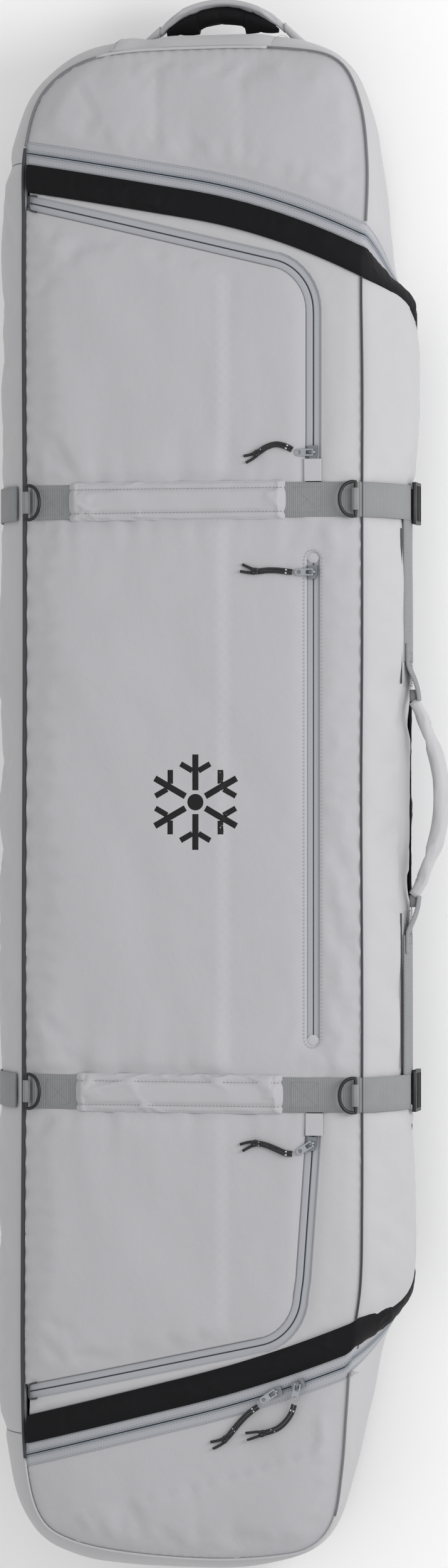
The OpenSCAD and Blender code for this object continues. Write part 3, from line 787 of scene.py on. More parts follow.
def ribbed(name, colour):
    """Webbing: fat ribs across its length with a fine thread over them."""
    pitch, rough, depth = 2.1, 0.75, 0.5
    n = Nodes(name)
    uv = n.add("TexCoord").outputs["UV"]
    ribs = n.add("TexWave", {"Vector": uv, "Scale": per_pitch(pitch), "Distortion": 0.25,
                             "Detail": 1.0, "Detail Scale": 3.0}, wave_type="BANDS", bands_direction="X")
    fine = n.add("TexWave", {"Vector": uv, "Scale": per_pitch(0.7), "Distortion": 1.0, "Detail": 2.0},
                 wave_type="BANDS", bands_direction="DIAGONAL")
    cloud = n.add("TexNoise", {"Vector": n.add("TexCoord").outputs["Object"], "Scale": 60.0, "Detail": 4.0})
    # The colour follows the ribs: their troughs are painted darker, as shade between the ribs, with random
    # tone from the cloud on top.
    fac = n.math("ADD", n.math("MULTIPLY", ribs.outputs["Fac"], 0.6),
                 n.math("MULTIPLY", cloud.outputs["Fac"], 0.4))
    n.set(Base_Color=shade(n, scaled(colour, 1.12), scaled(colour, 0.80), fac))
    n.set(Roughness=n.math("ADD", n.math("MULTIPLY", fine.outputs["Fac"], 0.15), rough - 0.08))
    n.set(Normal=n.bump(ribs.outputs["Fac"], depth, 0.0006,
                        n.bump(fine.outputs["Fac"], 0.2, 0.0002)))
    n.set(Sheen_Weight=0.1)
    return n.material


def plastic(name, colour, rough=0.42, gloss=0.4):
    """Moulded plastic with a fine grain and smudges."""
    n = Nodes(name)
    obj = n.add("TexCoord").outputs["Object"]
    grain = n.add("TexNoise", {"Vector": obj, "Scale": 900.0, "Detail": 3.0})
    smudge = n.add("TexNoise", {"Vector": obj, "Scale": 55.0, "Detail": 4.0})
    n.set(Base_Color=shade(n, scaled(colour, 1.25), scaled(colour, 0.8), smudge.outputs["Fac"]))
    n.set(Roughness=n.math("ADD", n.math("MULTIPLY", smudge.outputs["Fac"], 0.2), rough - 0.1))
    n.set(Normal=n.bump(grain.outputs["Fac"], 0.12, 0.0002), Specular_IOR_Level=gloss)
    return n.material


def metal(name, colour):
    """Cast and painted metal, a little worn."""
    rough = 0.35
    n = Nodes(name)
    obj = n.add("TexCoord").outputs["Object"]
    cast = n.add("TexNoise", {"Vector": obj, "Scale": 700.0, "Detail": 4.0})
    wear = n.add("TexNoise", {"Vector": obj, "Scale": 180.0, "Detail": 5.0, "Roughness": 0.7})
    n.set(Base_Color=shade(n, colour, scaled(colour, 0.78), wear.outputs["Fac"]))
    n.set(Roughness=n.math("ADD", n.math("MULTIPLY", wear.outputs["Fac"], 0.25), rough - 0.1))
    n.set(Normal=n.bump(cast.outputs["Fac"], 0.1, 0.0002), Metallic=0.6)
    return n.material


def braided(name):
    """Black braided cord with pale tracer flecks."""
    n = Nodes(name)
    uv = n.add("TexCoord").outputs["UV"]
    turned = n.add("Mapping", {"Vector": uv, "Rotation": (0, 0, 0.7), "Scale": (420, 700, 1)})
    cells = n.add("TexVoronoi", {"Vector": turned.outputs["Vector"], "Scale": 1.0, "Randomness": 0.5})
    flecks = n.add("Mapping", {"Vector": uv, "Rotation": (0, 0, 0.5), "Scale": (190, 260, 1)})
    spots = n.add("TexVoronoi", {"Vector": flecks.outputs["Vector"], "Scale": 1.0, "Randomness": 0.7})
    pale = n.add("ValToRGB", {"Fac": spots.outputs["Distance"]})
    pale.color_ramp.interpolation = "CONSTANT"
    pale.color_ramp.elements[0].color = (0.62, 0.62, 0.64, 1)
    pale.color_ramp.elements[1].color = (0.012, 0.012, 0.014, 1)
    pale.color_ramp.elements[1].position = 0.21
    n.set(Base_Color=pale.outputs["Color"], Roughness=n.math(
        "ADD", n.math("MULTIPLY", cells.outputs["Distance"], 0.3), 0.6))
    n.set(Normal=n.bump(cells.outputs["Distance"], 0.6, 0.0005))
    return n.material


GREY = (0.405, 0.40, 0.42)
fabric = woven("bag_fabric", GREY)
gusset_fabric = woven("gusset_fabric", (0.425, 0.42, 0.432))
back_fabric = woven("back_fabric", (0.16, 0.16, 0.17), pitch=1.4, depth=0.25)
lining = woven("lining_fabric", (0.11, 0.115, 0.125), pitch=1.0, rough=0.65, sheen=0.05, crumple=0.5)
foam_cloth = woven("foam_cloth", (0.14, 0.145, 0.155), pitch=1.2, rough=0.7, crumple=0.4)
band_fabric = woven("band_fabric", (0.006, 0.006, 0.007), rough=0.6, sheen=0.0, crumple=0.2, mottle=0.2,
                    gloss=0.12)
# Near-black cloth for the pleats inside the haul handle: painted shade for the shaded inside of its arch.
pleat_shade_cloth = woven("pleat_shade_cloth", (0.007, 0.007, 0.008), rough=0.7, sheen=0.0, crumple=0.3, mottle=0.2,
                     gloss=0.12)
tape = woven("zip_tape", (0.335, 0.34, 0.365), pitch=0.6, rough=0.6, sheen=0.05, depth=0.2, crumple=0.05)
webbing = ribbed("webbing", (0.215, 0.22, 0.225))
print_ink = plastic("print_ink", (0.012, 0.012, 0.013), rough=0.6, gloss=0.15)
black_plastic = plastic("black_plastic", (0.010, 0.010, 0.011))
slider_metal = metal("slider_metal", (0.20, 0.215, 0.235))
tab_metal = metal("tab_metal", (0.34, 0.355, 0.38))
cord_cloth = braided("cord_cloth")
thread = woven("thread_grey", (0.22, 0.225, 0.24), pitch=0.3, rough=0.7, crumple=0.0)
light_thread = woven("thread_light", (0.36, 0.37, 0.39), pitch=0.3, rough=0.7, crumple=0.0)
piping_cloth = woven("piping_cloth", (0.035, 0.038, 0.046), pitch=0.5, rough=0.7, crumple=0.1)
binding = woven("binding_cloth", (0.16, 0.16, 0.17), pitch=0.6, rough=0.7, crumple=0.1)
# Near-black strip laid in the crack of each hidden zip: painted shade for the gap between the tapes.
gap_shade = woven("painted_gap_shade", (0.03, 0.034, 0.042), pitch=0.5, rough=0.8, crumple=0.0)
coil_plastic = plastic("coil_plastic", (0.20, 0.22, 0.25), rough=0.5)

# ---------------------------------------------------------------- camera

VIEW_TURN = math.radians(12)     # the camera stands this far round to the bag's right
VIEW_DISTANCE = 5.4
VIEW_HEIGHT = 1.7125             # what the picture's height spans at the front seam, in metres
target = Vector((0.0365, 0.0158, SEAM_Z * MM))
camera_data = bpy.data.cameras.new("camera")
camera = bpy.data.objects.new("camera", camera_data)
bpy.context.scene.collection.objects.link(camera)
camera.location = target + VIEW_DISTANCE * Vector((math.sin(VIEW_TURN), 0, math.cos(VIEW_TURN)))
camera.rotation_euler = (0, VIEW_TURN, 0)
camera_data.sensor_fit = "VERTICAL"
camera_data.angle_y = 2 * math.atan(VIEW_HEIGHT / 2 / VIEW_DISTANCE)
bpy.context.scene.camera = camera


# ---------------------------------------------------------------- fabric of the bag


def seam_run(t0, t1, inset=1.5):
    """Plan points of the front seam from t0 to t1, pulled in a little."""
    row, normal = rim(np.linspace(t0, t1, max(2, int(abs(t1 - t0) / 8))))
    return row[:, :2] - normal * inset


def line_points(line, x0, x1, offset):
    """Plan points along a line across the bag, moved along the bag by an offset."""
    xs = np.linspace(x0, x1, 40)
    return np.column_stack([xs, line(xs) + offset])


def offset_path(path, off):
    """A path moved to its left."""
    p = np.array(path, float)
    return p + left_of(unit(np.gradient(p, axis=0))) * off


STRAP_T = [rim_t(side, y) for side in (1, -1) for y in STRAPS.values()]     # the straps, along the seam


def wall_pull(p, d):
    """On the walls the fabric dips under each strap, with short folds beside it."""
    t = np.mod(p[:, 0] + 5, RIM_LENGTH) - 5
    out = np.zeros(len(p))
    for at in STRAP_T:
        for turn in (0, RIM_LENGTH):
            off = np.abs(t - at - turn)
            out += -2.4 * np.exp(-(off / 21) ** 4)
            fold = 1.8 * fabric_noise(np.column_stack([p[:, 1], p[:, 0]]), (13, 90), 4.0)
            fold = np.where(fold > 0, fold * smooth(20, 30, off), fold)
            out += fold * np.exp(-np.maximum(off - WEB / 2, 0) / 24)
    return out * smooth(0, 14, d)


# Head and foot panels, on the tub
head_loop = np.vstack([seam_run(rim_t(-1, 723), RIM_LENGTH + rim_t(1, 625)),
                       line_points(head_line, 190, -188, TAPE_HALF)])
foot_loop = np.vstack([seam_run(rim_t(1, -622), rim_t(-1, -736)),
                       line_points(foot_line, -188, 186, -TAPE_HALF)])
head_skin = panel("head_skin", front, [head_loop], fabric, lining, seed=1.3, slack=1.25)
foot_skin = panel("foot_skin", front, [foot_loop], fabric, lining, seed=2.7, slack=1.1)
settle(head_skin, "tub", "head_panel")
settle(foot_skin, "tub", "foot_panel")

# Pockets and strips, on the lid
upper_path, lower_path = pocket_path(True), pocket_path(False)
pocket_loops, strip_loops = {}, {}
for key, path, line, s in (("upper", upper_path, upper_line, 1), ("lower", lower_path, lower_line, -1)):
    y = STRAPS[key]
    inner, outer = offset_path(path, -s * POCKET_TAPE), offset_path(path, s * POCKET_TAPE)
    inner[-1, 1] = outer[-1, 1] = y
    across = [(x, y) for x in np.linspace(inner[-1, 0] - 4, -182, 30)]
    left = seam_run(rim_t(-1, y + s), rim_t(-1, inner[0, 1]), 3)
    pocket_loops[key] = np.vstack([inner, across, left])
    top = line_points(head_line if s > 0 else foot_line, 188, -183, -s * (TAPE_HALF + BAND + 1))
    right = seam_run(rim_t(1, y), rim_t(1, top[0, 1]), 1.5)
    strip_loops[key] = np.vstack([outer, [(x, y) for x in np.linspace(outer[-1, 0] + 5, 184, 8)], right, top])


for key in ("upper", "lower"):
    skin = panel(key + "_pocket_skin", front, [pocket_loops[key]], fabric, lining,
                 seed=3.1 if key == "upper" else 6.4, slack=1.0)
    settle(skin, "lid", key + "_pocket")
    skin = panel(key + "_strip_skin", front, [strip_loops[key]], gusset_fabric, lining,
                 seed=4.2 if key == "upper" else 7.5, slack=0.8, spacing=6)
    settle(skin, "lid", key + "_strip")


def arc(x, y, r, start, end, n):
    """Points of an arc round a centre."""
    return [(x + r * math.cos(a), y + r * math.sin(a)) for a in np.linspace(start, end, n)]


def pill(half, n):
    """An outline round the slot, half as wide as half says."""
    return np.array(arc(ZIP_X, SLOT_TOP, half, 0, math.pi, n)
                    + arc(ZIP_X, SLOT_FOOT, half, math.pi, 2 * math.pi, n))


centre_loop = np.vstack([seam_run(rim_t(-1, STRAPS["lower"]), rim_t(-1, STRAPS["upper"]), 3),
                         [(x, STRAPS["upper"]) for x in np.linspace(-180, 182, 50)],
                         seam_run(rim_t(1, STRAPS["upper"]), rim_t(1, STRAPS["lower"]), 1.5),
                         [(x, STRAPS["lower"]) for x in np.linspace(182, -180, 50)]])


def seam_folds(p, d):
    """Diagonal folds that run in from the right seam below the middle."""
    near = np.exp(-((p[:, 0] - 185) / 46) ** 2) * np.exp(-((p[:, 1] + 150) / 110) ** 2)
    return -2.4 * near * np.sin((p[:, 1] + 1.5 * p[:, 0]) / 13) * smooth(2, 20, d)


centre_skin = panel("centre_pocket_skin", front, [centre_loop, pill(SLOT_HALF, 12)], fabric, lining,
                    seed=5.3, slack=1.15, shape=seam_folds)
settle(centre_skin, "lid", "centre_pocket")

# Walls
TOP = SEAM_Z - 1.5
FOOT = BASE_Z + 1.5
RIGHT_END, LEFT_END = 560, 700


def wall_loop(t0, t1, low, high):
    """A wall cut between two heights, each a function of the distance along the seam."""
    ts = np.linspace(t0, t1, 120)
    return np.vstack([np.column_stack([ts, low(ts)]), np.column_stack([ts[::-1], high(ts[::-1])])])


def flat_at(z):
    return lambda t: np.full(len(t), float(z))


def zip_side(o, limit=TOP):
    """Heights offset from the main zip on the right wall; elsewhere the wall reaches the seam."""
    def height(t):
        row = rim(t)[0]
        edge = np.minimum(side_edge(row[:, 1], o), limit)
        return np.where((row[:, 0] > 150) & (np.abs(row[:, 1]) < 660), edge, limit)
    return height


def hollow(p, d):
    """The lid's wall sinks behind the carry handle."""
    y = rim(p[:, 0])[0][:, 1]
    return wall_pull(p, d) - 6 * smooth(142, 120, p[:, 1]) * smooth(128, 92, np.abs(y)) * smooth(4, 30, d)


def add_wall(name, node, body, t0, t1, low, high, seed, shape=wall_pull):
    skin = panel(name, wall, [wall_loop(t0, t1, low, high)], gusset_fabric, lining, seed=seed,
                 spacing=9, shape=shape)
    settle(skin, body, node)


add_wall("left_wall", "left_gusset", "tub", rim_t(-1, -LEFT_END), rim_t(-1, LEFT_END), flat_at(FOOT),
         flat_at(TOP), 8.1)
add_wall("right_wall", "right_gusset", "tub", rim_t(1, RIGHT_END), rim_t(1, -RIGHT_END), flat_at(FOOT),
         zip_side(-TAPE_HALF), 9.2)
add_wall("head_wall", "head_gusset", "tub", rim_t(-1, LEFT_END + 1), RIM_LENGTH + rim_t(1, RIGHT_END + 1),
         flat_at(FOOT), zip_side(-TAPE_HALF), 10.3)
add_wall("foot_wall", "foot_gusset", "tub", rim_t(1, -RIGHT_END - 1), rim_t(-1, -LEFT_END - 1),
         flat_at(FOOT), zip_side(-TAPE_HALF), 11.4)
add_wall("lid_wall", "lid_gusset", "lid", rim_t(1, 600), rim_t(1, -600), zip_side(TAPE_HALF, TOP - 1),
         flat_at(TOP), 12.5, hollow)

# Back and the linings
ts = np.linspace(0, RIM_LENGTH, 200, endpoint=False)
base_loop = wall(np.column_stack([ts, np.full(200, BASE_Z + 0.5)]), np.full(200, -1.0))[:, :2]


def under_side(xy, o):
    """A chart of the underside, which faces down."""
    return np.column_stack([xy, 2.4 - o])


back = panel("back_skin", under_side, [base_loop], back_fabric, lining, thick=6, spacing=14, seed=13.0,
             slack=0.3, edge=-3)
settle(back, "tub", "back_panel")


def quilt(p, d):
    """Channels sewn across a lining every 90 mm."""
    return -2.2 * np.exp(-((np.mod(p[:, 1] + 45, 90) - 45) / 7) ** 2)


def base_face(xy, o):
    """A chart of the floor inside the bag."""
    return np.column_stack([xy, BASE_Z + 7 + o])


base_lining = panel("base_lining", base_face, [base_loop - loop_normal(base_loop) * 2], foam_cloth, thick=6.5,
                    spacing=14, seed=14.0, slack=0.4, shape=quilt)
settle(base_lining, "tub", "base_foam")


def lid_inside(xy, o):
    """A chart of the lid's inner face, which faces down."""
    return np.column_stack([xy, front_z(xy) - 9 - o])


lid_inner = np.vstack([line_points(foot_line, -180, 184, TAPE_HALF + 2),
                       line_points(head_line, 186, -180, -TAPE_HALF - 2)])
lid_lining = panel("lid_lining", lid_inside, [lid_inner], foam_cloth, thick=1.5, lift=8, spacing=14,
                   seed=15.0, slack=0.4, shape=quilt)
settle(lid_lining, "lid", ["lid_panel", "lid_foam"])

ROUTES = {             # middle of each pull cord, from its tab to its end
    "upper": [(115, 379, 203), (107, 383, 204), (97, 385, 204), (87, 382, 205), (79, 377, 205),
              (71, 372, 205), (63, 369, 205)],
    "centre": [(115, 246, 203), (107, 247, 204), (97, 248, 204), (87, 248, 205), (77, 247, 205),
               (69, 248, 205), (59, 251, 205)],
    "lower": [(115, -386, 203), (107, -385, 204), (97, -381, 204), (87, -377, 205), (77, -375, 205),
              (69, -376, 205), (59, -380, 205)],
    "main_left": [(78, -661, 208), (71, -666, 207), (62, -674, 206), (53, -684, 205), (44, -695, 205),
                  (36, -701, 205), (26, -705, 205)],
    "main_right": [(118, -658, 207), (115, -667, 207), (109, -676, 207), (100, -684, 207), (87, -689, 207),
                   (77, -691, 207), (65, -694, 207)],
}


def lay_down(name, most=3.5, grow=0.02, wall_side=0):
    """Settles a panel, whose lower face and edges are sewn and which lies still under straps and cords."""
    flat, d = plans[name]
    quiet = smooth(6, 22, d)
    if wall_side:
        for at in STRAP_T:
            for turn in (-RIM_LENGTH, 0, RIM_LENGTH):
                quiet *= smooth(21, 36, np.abs(flat[:, 0] - at - turn))
        if name == "lid_wall":
            y = rim(flat[:, 0])[0][:, 1]
            under_webbing = smooth(340, 300, np.abs(y)) * smooth(80, 96, np.abs(y))
            quiet *= 1 - under_webbing * smooth(145, 132, flat[:, 1])
    else:
        for at in STRAPS.values():
            quiet *= smooth(21, 36, np.abs(flat[:, 1] - at))
        for route in ROUTES.values():
            for x, y, _ in route:
                quiet *= smooth(10, 30, np.hypot(flat[:, 0] - x, flat[:, 1] - y))
    n = len(flat)
    hold = np.concatenate([d < 7, np.ones(n, bool)])
    low = np.zeros(2 * n, bool)
    low[:n] = False if wall_side else cord_room(flat) > 0.3
    billow(pieces[name], hold, grow, most, np.concatenate([quiet, np.zeros(n)]), low)


for name in ("head_skin", "foot_skin", "upper_pocket_skin", "lower_pocket_skin", "centre_pocket_skin"):
    lay_down(name)
for name in ("left_wall", "right_wall", "lid_wall"):
    lay_down(name, 3.0, 0.015, 1)

# ---------------------------------------------------------------- seams and zips


def seam_tube(name, body, t0, t1, radius=1.7, out=0.6, z=SEAM_Z - 0.2, material=piping_cloth):
    ts = np.linspace(t0, t1, max(3, int(abs(t1 - t0) / 7)))
    pts = wall(np.column_stack([ts, np.full(len(ts), z)]), np.full(len(ts), out))
    settle(tube(name, pts, radius, material, 8), body)


seam_tube("piping_left", "tub", rim_t(-1, -727), rim_t(-1, 716), 2.0, -0.6)
for name, t0, t1, r, cloth in (
        ("piping_head_left", rim_t(-1, 718), head_t(-108), 1.2, binding),
        ("piping_head", head_t(-107), head_t(84), 1.6, gusset_fabric),
        ("piping_head_right", head_t(85), RIM_LENGTH + rim_t(1, 627), 1.3, binding),
        ("piping_foot_right", rim_t(1, -624), rim_t(1, -780), 1.2, binding),
        ("piping_foot", rim_t(1, -781), rim_t(-1, -729), 1.3, gusset_fabric)):
    seam_tube(name, "tub", t0, t1, r, -0.2, material=cloth)
seam_tube("piping_right", "lid", rim_t(1, 596), rim_t(1, -596), 1.2, -0.3)
seam_tube("piping_base", "tub", 0, RIM_LENGTH, 2.2, 0.4, BASE_Z - 0.5, binding)


class Rail:
    """A chart along the main zip, from its left end at the head, down the right wall, to its left end at
    the foot: distance along it, and offset towards the tub."""

    def __init__(self):
        self.offs = np.linspace(-48, 16, 33)        # 2 mm apart
        head, foot = self.half(1, head_line), self.half(-1, foot_line)
        base = np.concatenate([head[0], foot[0][::-1][1:]])
        self.normal = np.concatenate([head[1], foot[1][::-1][1:]])
        self.base = base
        middle = base[:, int(np.argmin(np.abs(self.offs)))]
        self.s = lengths(middle)
        self.length = self.s[-1]

    def half(self, end, line):
        """Rows of base points and normals from the left end to the middle of the right wall."""
        front_rows, corner_rows, level_rows = 70, 45, 58
        left_x, level_y = -187, 472
        o = self.offs
        lean = math.sqrt(1 + ((line(191) - line(189)) / 2) ** 2)
        y_front = line(190) + end * o * lean
        x_end = rim(rim_t(1, y_front))[0][:, 0] - 0.5
        rows = []
        for u in np.linspace(0, 1, front_rows):
            x = left_x + (x_end - left_x) * u
            m = (line(x + 1) - line(x - 1)) / 2
            rows.append((front, np.column_stack([x, line(x) + end * o * np.sqrt(1 + m * m)])))
        fine = np.linspace(700, 480, 900)
        falls = []
        for k, off in enumerate(o):
            narrow = np.where(off < -TAPE_HALF, 1 - 0.4 * smooth(560, 500, fine), 1)
            z = side_edge(fine, -off + (1 - narrow) * (off + TAPE_HALF))
            keep = z < SEAM_Z
            y, z = fine[keep], z[keep]
            s = np.concatenate([[0], np.cumsum(np.hypot(np.diff(y), np.diff(z)))])
            grid = np.linspace(0, s[-1], corner_rows)
            v = grid / s[-1]
            y = np.interp(grid, s, y) + (end * y_front[k] - y[0]) * (1 - v) ** 2
            falls.append(np.column_stack([end * y, np.interp(grid, s, z)]))
        falls = np.array(falls)
        rows += [(right_wall, falls[:, j]) for j in range(corner_rows)]
        level = np.where(o < -TAPE_HALF, -TAPE_HALF + 0.6 * (o + TAPE_HALF), o)
        rows += [(right_wall, np.column_stack([np.full(len(o), end * y), SIDE_ZIP_Z - level]))
                 for y in np.linspace(level_y, 0, level_rows)]
        base = np.array([chart(p, np.zeros(len(p))) for chart, p in rows])
        normal = np.array([chart(p, np.ones(len(p))) for chart, p in rows]) - base
        turn = front_rows - 1               # the last row on the front meets the first on the wall
        for array in (base, normal):
            array[turn] = (array[turn] + array[turn + 1]) / 2
        normal[turn] = unit(normal[turn])
        return np.delete(base, turn + 1, 0), np.delete(normal, turn + 1, 0)

    def __call__(self, so, height):
        so = np.asarray(so, float)
        i = np.clip(np.searchsorted(self.s, so[:, 0]) - 1, 0, len(self.s) - 2)
        f = np.clip((so[:, 0] - self.s[i]) / (self.s[i + 1] - self.s[i]), 0, 1)[:, None]
        c = np.clip((so[:, 1] - self.offs[0]) / 2, 0, len(self.offs) - 1.001)
        j = c.astype(int)
        g = (c - j)[:, None]
        out = 0
        for grid, k in ((self.base, 1.0), (self.normal, np.asarray(height, float).reshape(-1, 1))):
            a = grid[i, j] * (1 - f) + grid[i + 1, j] * f
            b = grid[i, j + 1] * (1 - f) + grid[i + 1, j + 1] * f
            out = out + k * (a * (1 - g) + b * g)
        return out

    def at_y(self, y):
        """Distance along the zip of the place on the right wall at y."""
        mid = self.base[:, int(np.argmin(np.abs(self.offs)))]
        keep = (mid[:, 2] < SEAM_Z - 2)
        return float(np.interp(-y, -mid[keep, 1], self.s[keep]))


rail = Rail()
COIL = [(-1.2, -2.6), (-0.9, -0.5), (0.9, -0.5), (1.2, -2.6)]
FLAP_EDGE = [(-0.7, -5), (-0.5, -3.4), (0.5, -3.4), (0.7, -5)]
# Profile of the painted-shade strip that sits in the crack between a hidden zip's tapes.
GAP_SHADE = [(-0.45, -5.4), (-0.35, -4.35), (0.35, -4.35), (0.45, -5.4)]


def whole(o):
    """The length of the main zip, at an offset."""
    return [(0.5, o), (rail.length - 0.5, o)]


for body, s in (("tub", 1), ("lid", -1)):
    settle(ribbon(body + "_zip", rail, whole(s * 6.6), flat_profile(11.6, -2.8, -1.2), tape), body,
           body + "_zip_tape")
    settle(ribbon(body + "_coil", rail, whole(s * 1.5), COIL, coil_plastic), body)
    settle(stitches(body + "_zip_stitches", rail, [whole(s * 4.2), whole(s * 10.6)], thread, pitch=3.4,
                    length=2.2, over=-1.3), body)


def tapes(run, off, width):
    """The two tapes of a hidden zip."""
    return [ribbon("tape", front, offset_path(run, o * off), flat_profile(width, -5.6, -4.6, 0.3), tape)
            for o in (-1, 1)]


for key, path in (("upper", upper_path), ("lower", lower_path)):
    run = path.copy()
    stop = STRAPS[key] + (WEB / 2 + 2 if key == "upper" else -WEB / 2 - 2)
    run = run[run[:, 1] > stop] if key == "upper" else run[run[:, 1] < stop]
    parts = tapes(run, 4.6, 8.0)
    flap = -1 if key == "upper" else 1
    parts += [ribbon("edge", front, offset_path(run, o * 8.1), FLAP_EDGE, cloth)
              for o, cloth in ((flap, binding), (-flap, light_thread))]
    # The dark strip between the tapes is painted shade in the zip's gap.
    parts.append(ribbon("gap", front, run, GAP_SHADE, gap_shade))
    settle(join(key + "_pocket_zip_tape", parts), "lid", key + "_pocket_zip")

for key, line in (("upper", upper_line), ("lower", lower_line)):
    bracket = ((-173, 8.6), (-180, 8.2), (-182.5, 5), (-182.5, -5), (-180, -8.2), (-173, -8.6))
    c = spline3([(x, line(x) + o, 0) for x, o in bracket])[:, :2]
    settle(tube(key + "_zip_bracket", front(c, np.full(len(c), 0.4)), 1.1, piping_cloth, 8), "lid")

slot_run = [(ZIP_X, SLOT_FOOT - 6), (ZIP_X, SLOT_TOP + 6)]
# The centre pocket's zip also gets the near-black strip of painted shade in its gap.
parts = tapes(slot_run, 3.7, 6.6) + [ribbon("gap", front, slot_run, GAP_SHADE, gap_shade)]
settle(join("centre_pocket_zip_tape", parts), "lid", "centre_pocket_zip")

row = pill(SLOT_HALF + 2.6, 14)
settle(stitches("slot_stitches", front, [np.vstack([row, row[:1]])], light_thread, over=-1.2), "lid")

moons = []
for end, y in ((1, SLOT_TOP), (-1, SLOT_FOOT)):
    r = SLOT_HALF + 0.4
    moon = [(ZIP_X + r * math.cos(a), y + end * r * math.sin(a)) for a in np.linspace(0, math.pi, 12)]
    moon += [(ZIP_X - 3, y - end * 5), (ZIP_X + 3, y - end * 5)]
    moons.append(panel("moon", front, [np.array(moon)], fabric, thick=1.4, lift=-2.9, edge=0.8, roll=1.5,
                       spacing=3, slack=0))
settle(crisp(join("slot_ends", moons)), "lid")

# ---------------------------------------------------------------- black bands

soft_pads = []          # padded sweeps that settle later: each piece, its sides, and the most it may move
BAND_HIGH = 5.5         # height of the band over the zip's chart
BAND_O = -(TAPE_HALF + BAND / 2)
cuts = [0.5, rail.at_y(499), rail.at_y(-499), rail.length - 0.5]
strap_s = [rail.at_y(y) for y in STRAPS.values()]


def band_swell(s, start):
    """The band lies flat under the two straps on the right wall."""
    s = s + start
    low = np.zeros_like(s)
    for at in strap_s:
        low = np.maximum(low, np.exp(-((s - at) / 28) ** 6))
    level = smooth(rail.at_y(560), rail.at_y(500), s) * smooth(rail.at_y(-560), rail.at_y(-500), s)
    return (1 - 0.45 * level) * (1 - 0.9 * low)


for k, name in enumerate(("upper", "side", "lower")):
    a, b = cuts[k], cuts[k + 1]
    band = ribbon("band_%s_pad" % name, rail, [(a, BAND_O), (b, BAND_O)],
                  cushion_profile(BAND, -4, BAND_HIGH, 22), band_fabric, step=4,
                  swell=lambda s, length, a=a: band_swell(s, a),
                  wave=lambda s, across: 0.35 * np.sin(s / 19) * np.cos(across / 9))
    settle(band, "lid", "band_" + name)
    soft_pads.append((band, 25, 0.9))

# ---------------------------------------------------------------- straps and sleeves


def strap_profile(low):
    """Webbing 2 mm thick, low over its chart."""
    return flat_profile(WEB, low, low + 2, 0.4)


def crossed_box(x0, x1, y0, y1):
    """Seams of a box with a cross in it."""
    return [[(x0, y0), (x1, y0), (x1, y1), (x0, y1), (x0, y0)], [(x0, y0), (x1, y1)], [(x0, y1), (x1, y0)]]


for key, y in STRAPS.items():
    g = Girth(y)
    run = [(g.at_x(-180), y), (g.at_z(1, 108), y)]
    strap = ribbon("front_strap_%s_web" % key, g, run, strap_profile(0.2), webbing, step=3)
    settle(strap, "lid", "front_strap_" + key)
    left = ribbon("left", g, [(g.at_z(-1, 10), y), (g.at_z(-1, 182), y)], strap_profile(0.2), webbing, step=3)
    right = ribbon("right", g, [(g.at_z(1, 76), y), (g.at_z(1, 10), y)], strap_profile(2.2), webbing, step=3)
    settle(join("tub_strap_%s_web" % key, [left, right]), "tub", "tub_strap_" + key)
    x0, x1 = SLEEVES[key]
    a, b = g.at_x(x0), g.at_x(x1)

    def sleeve_swell(s, length):
        return 0.30 + 0.70 * smooth(0, 9, s) * smooth(0, 9, length - s)

    def sleeve_wave(s, across, k=len(key)):
        rows = -1.9 * (np.exp(-((np.abs(across) - 13) / 2.2) ** 2))
        return rows + 0.5 * np.sin(s / 11 + k + across / 14) * np.cos(s / 27)

    pad = ribbon("sleeve_%s_pad" % key, g, [(a, y), (b, y)], cushion_profile(WEB + 5, 2.2, 9.5, 26, 3.2),
                 fabric, step=3, swell=sleeve_swell, wave=sleeve_wave)
    settle(pad, "lid", "sleeve_" + key)
    soft_pads.append((pad, 29, 1.6))
    rows = [[(a + 5, y + o), (b - 5, y + o)] for o in (-13, 13)]
    settle(stitches("sleeve_%s_stitches" % key, g, rows, thread, over=7.0), "lid")
    boxes = []
    for p, q in ((g.at_x(x0) - 6, g.at_x(x0) - 34), (g.at_x(x1) + 8, g.at_x(x1) + 38)):
        boxes += crossed_box(min(p, q), max(p, q), y - 14, y + 14)
    settle(stitches("strap_%s_stitches" % key, g, boxes, thread, pitch=3.2, length=2.2, over=2.1), "lid")
    s = 1 if y > 0 else -1
    y0 = y + s * (WEB / 2 + 1)
    cx = ZIP_X if key == "upper" else lower_run_x(y0)
    garage = ribbon("%s_garage" % key, front, [(cx, y0), (cx, y0 + s * 24)],
                    flat_profile(19, -2.5, 0.5, 0.8), fabric, step=3)
    settle(crisp(garage), "lid", key + "_zip_garage")

# ---------------------------------------------------------------- print

ARM = 52                # length of the star's arms


def star_loops():
    """A plain six-armed star with a short bar across each arm."""
    loops = []
    for i in range(6):
        a = math.radians(60 * i + 30)
        u, v = np.array([math.cos(a), math.sin(a)]), np.array([-math.sin(a), math.cos(a)])
        spoke = [(13, -3.4), (ARM, -3.4), (ARM, 3.4), (13, 3.4)]
        loops.append(np.array([u * p + v * q for p, q in spoke]))
        for b in (-1, 1):
            w = math.radians(60) * b
            du, dv = u * math.cos(w) + v * math.sin(w), -u * math.sin(w) + v * math.cos(w)
            bar = [(4, -3), (19, -3), (19, 3), (4, 3)]
            loops.append(np.array([u * ARM * 0.62 + du * p + dv * q for p, q in bar]))
    loops.append(np.array([(9 * math.cos(t), 9 * math.sin(t))
                           for t in np.linspace(0, 2 * math.pi, 24, endpoint=False)]))
    return [np.array([(8, -4)]) + loop for loop in loops]


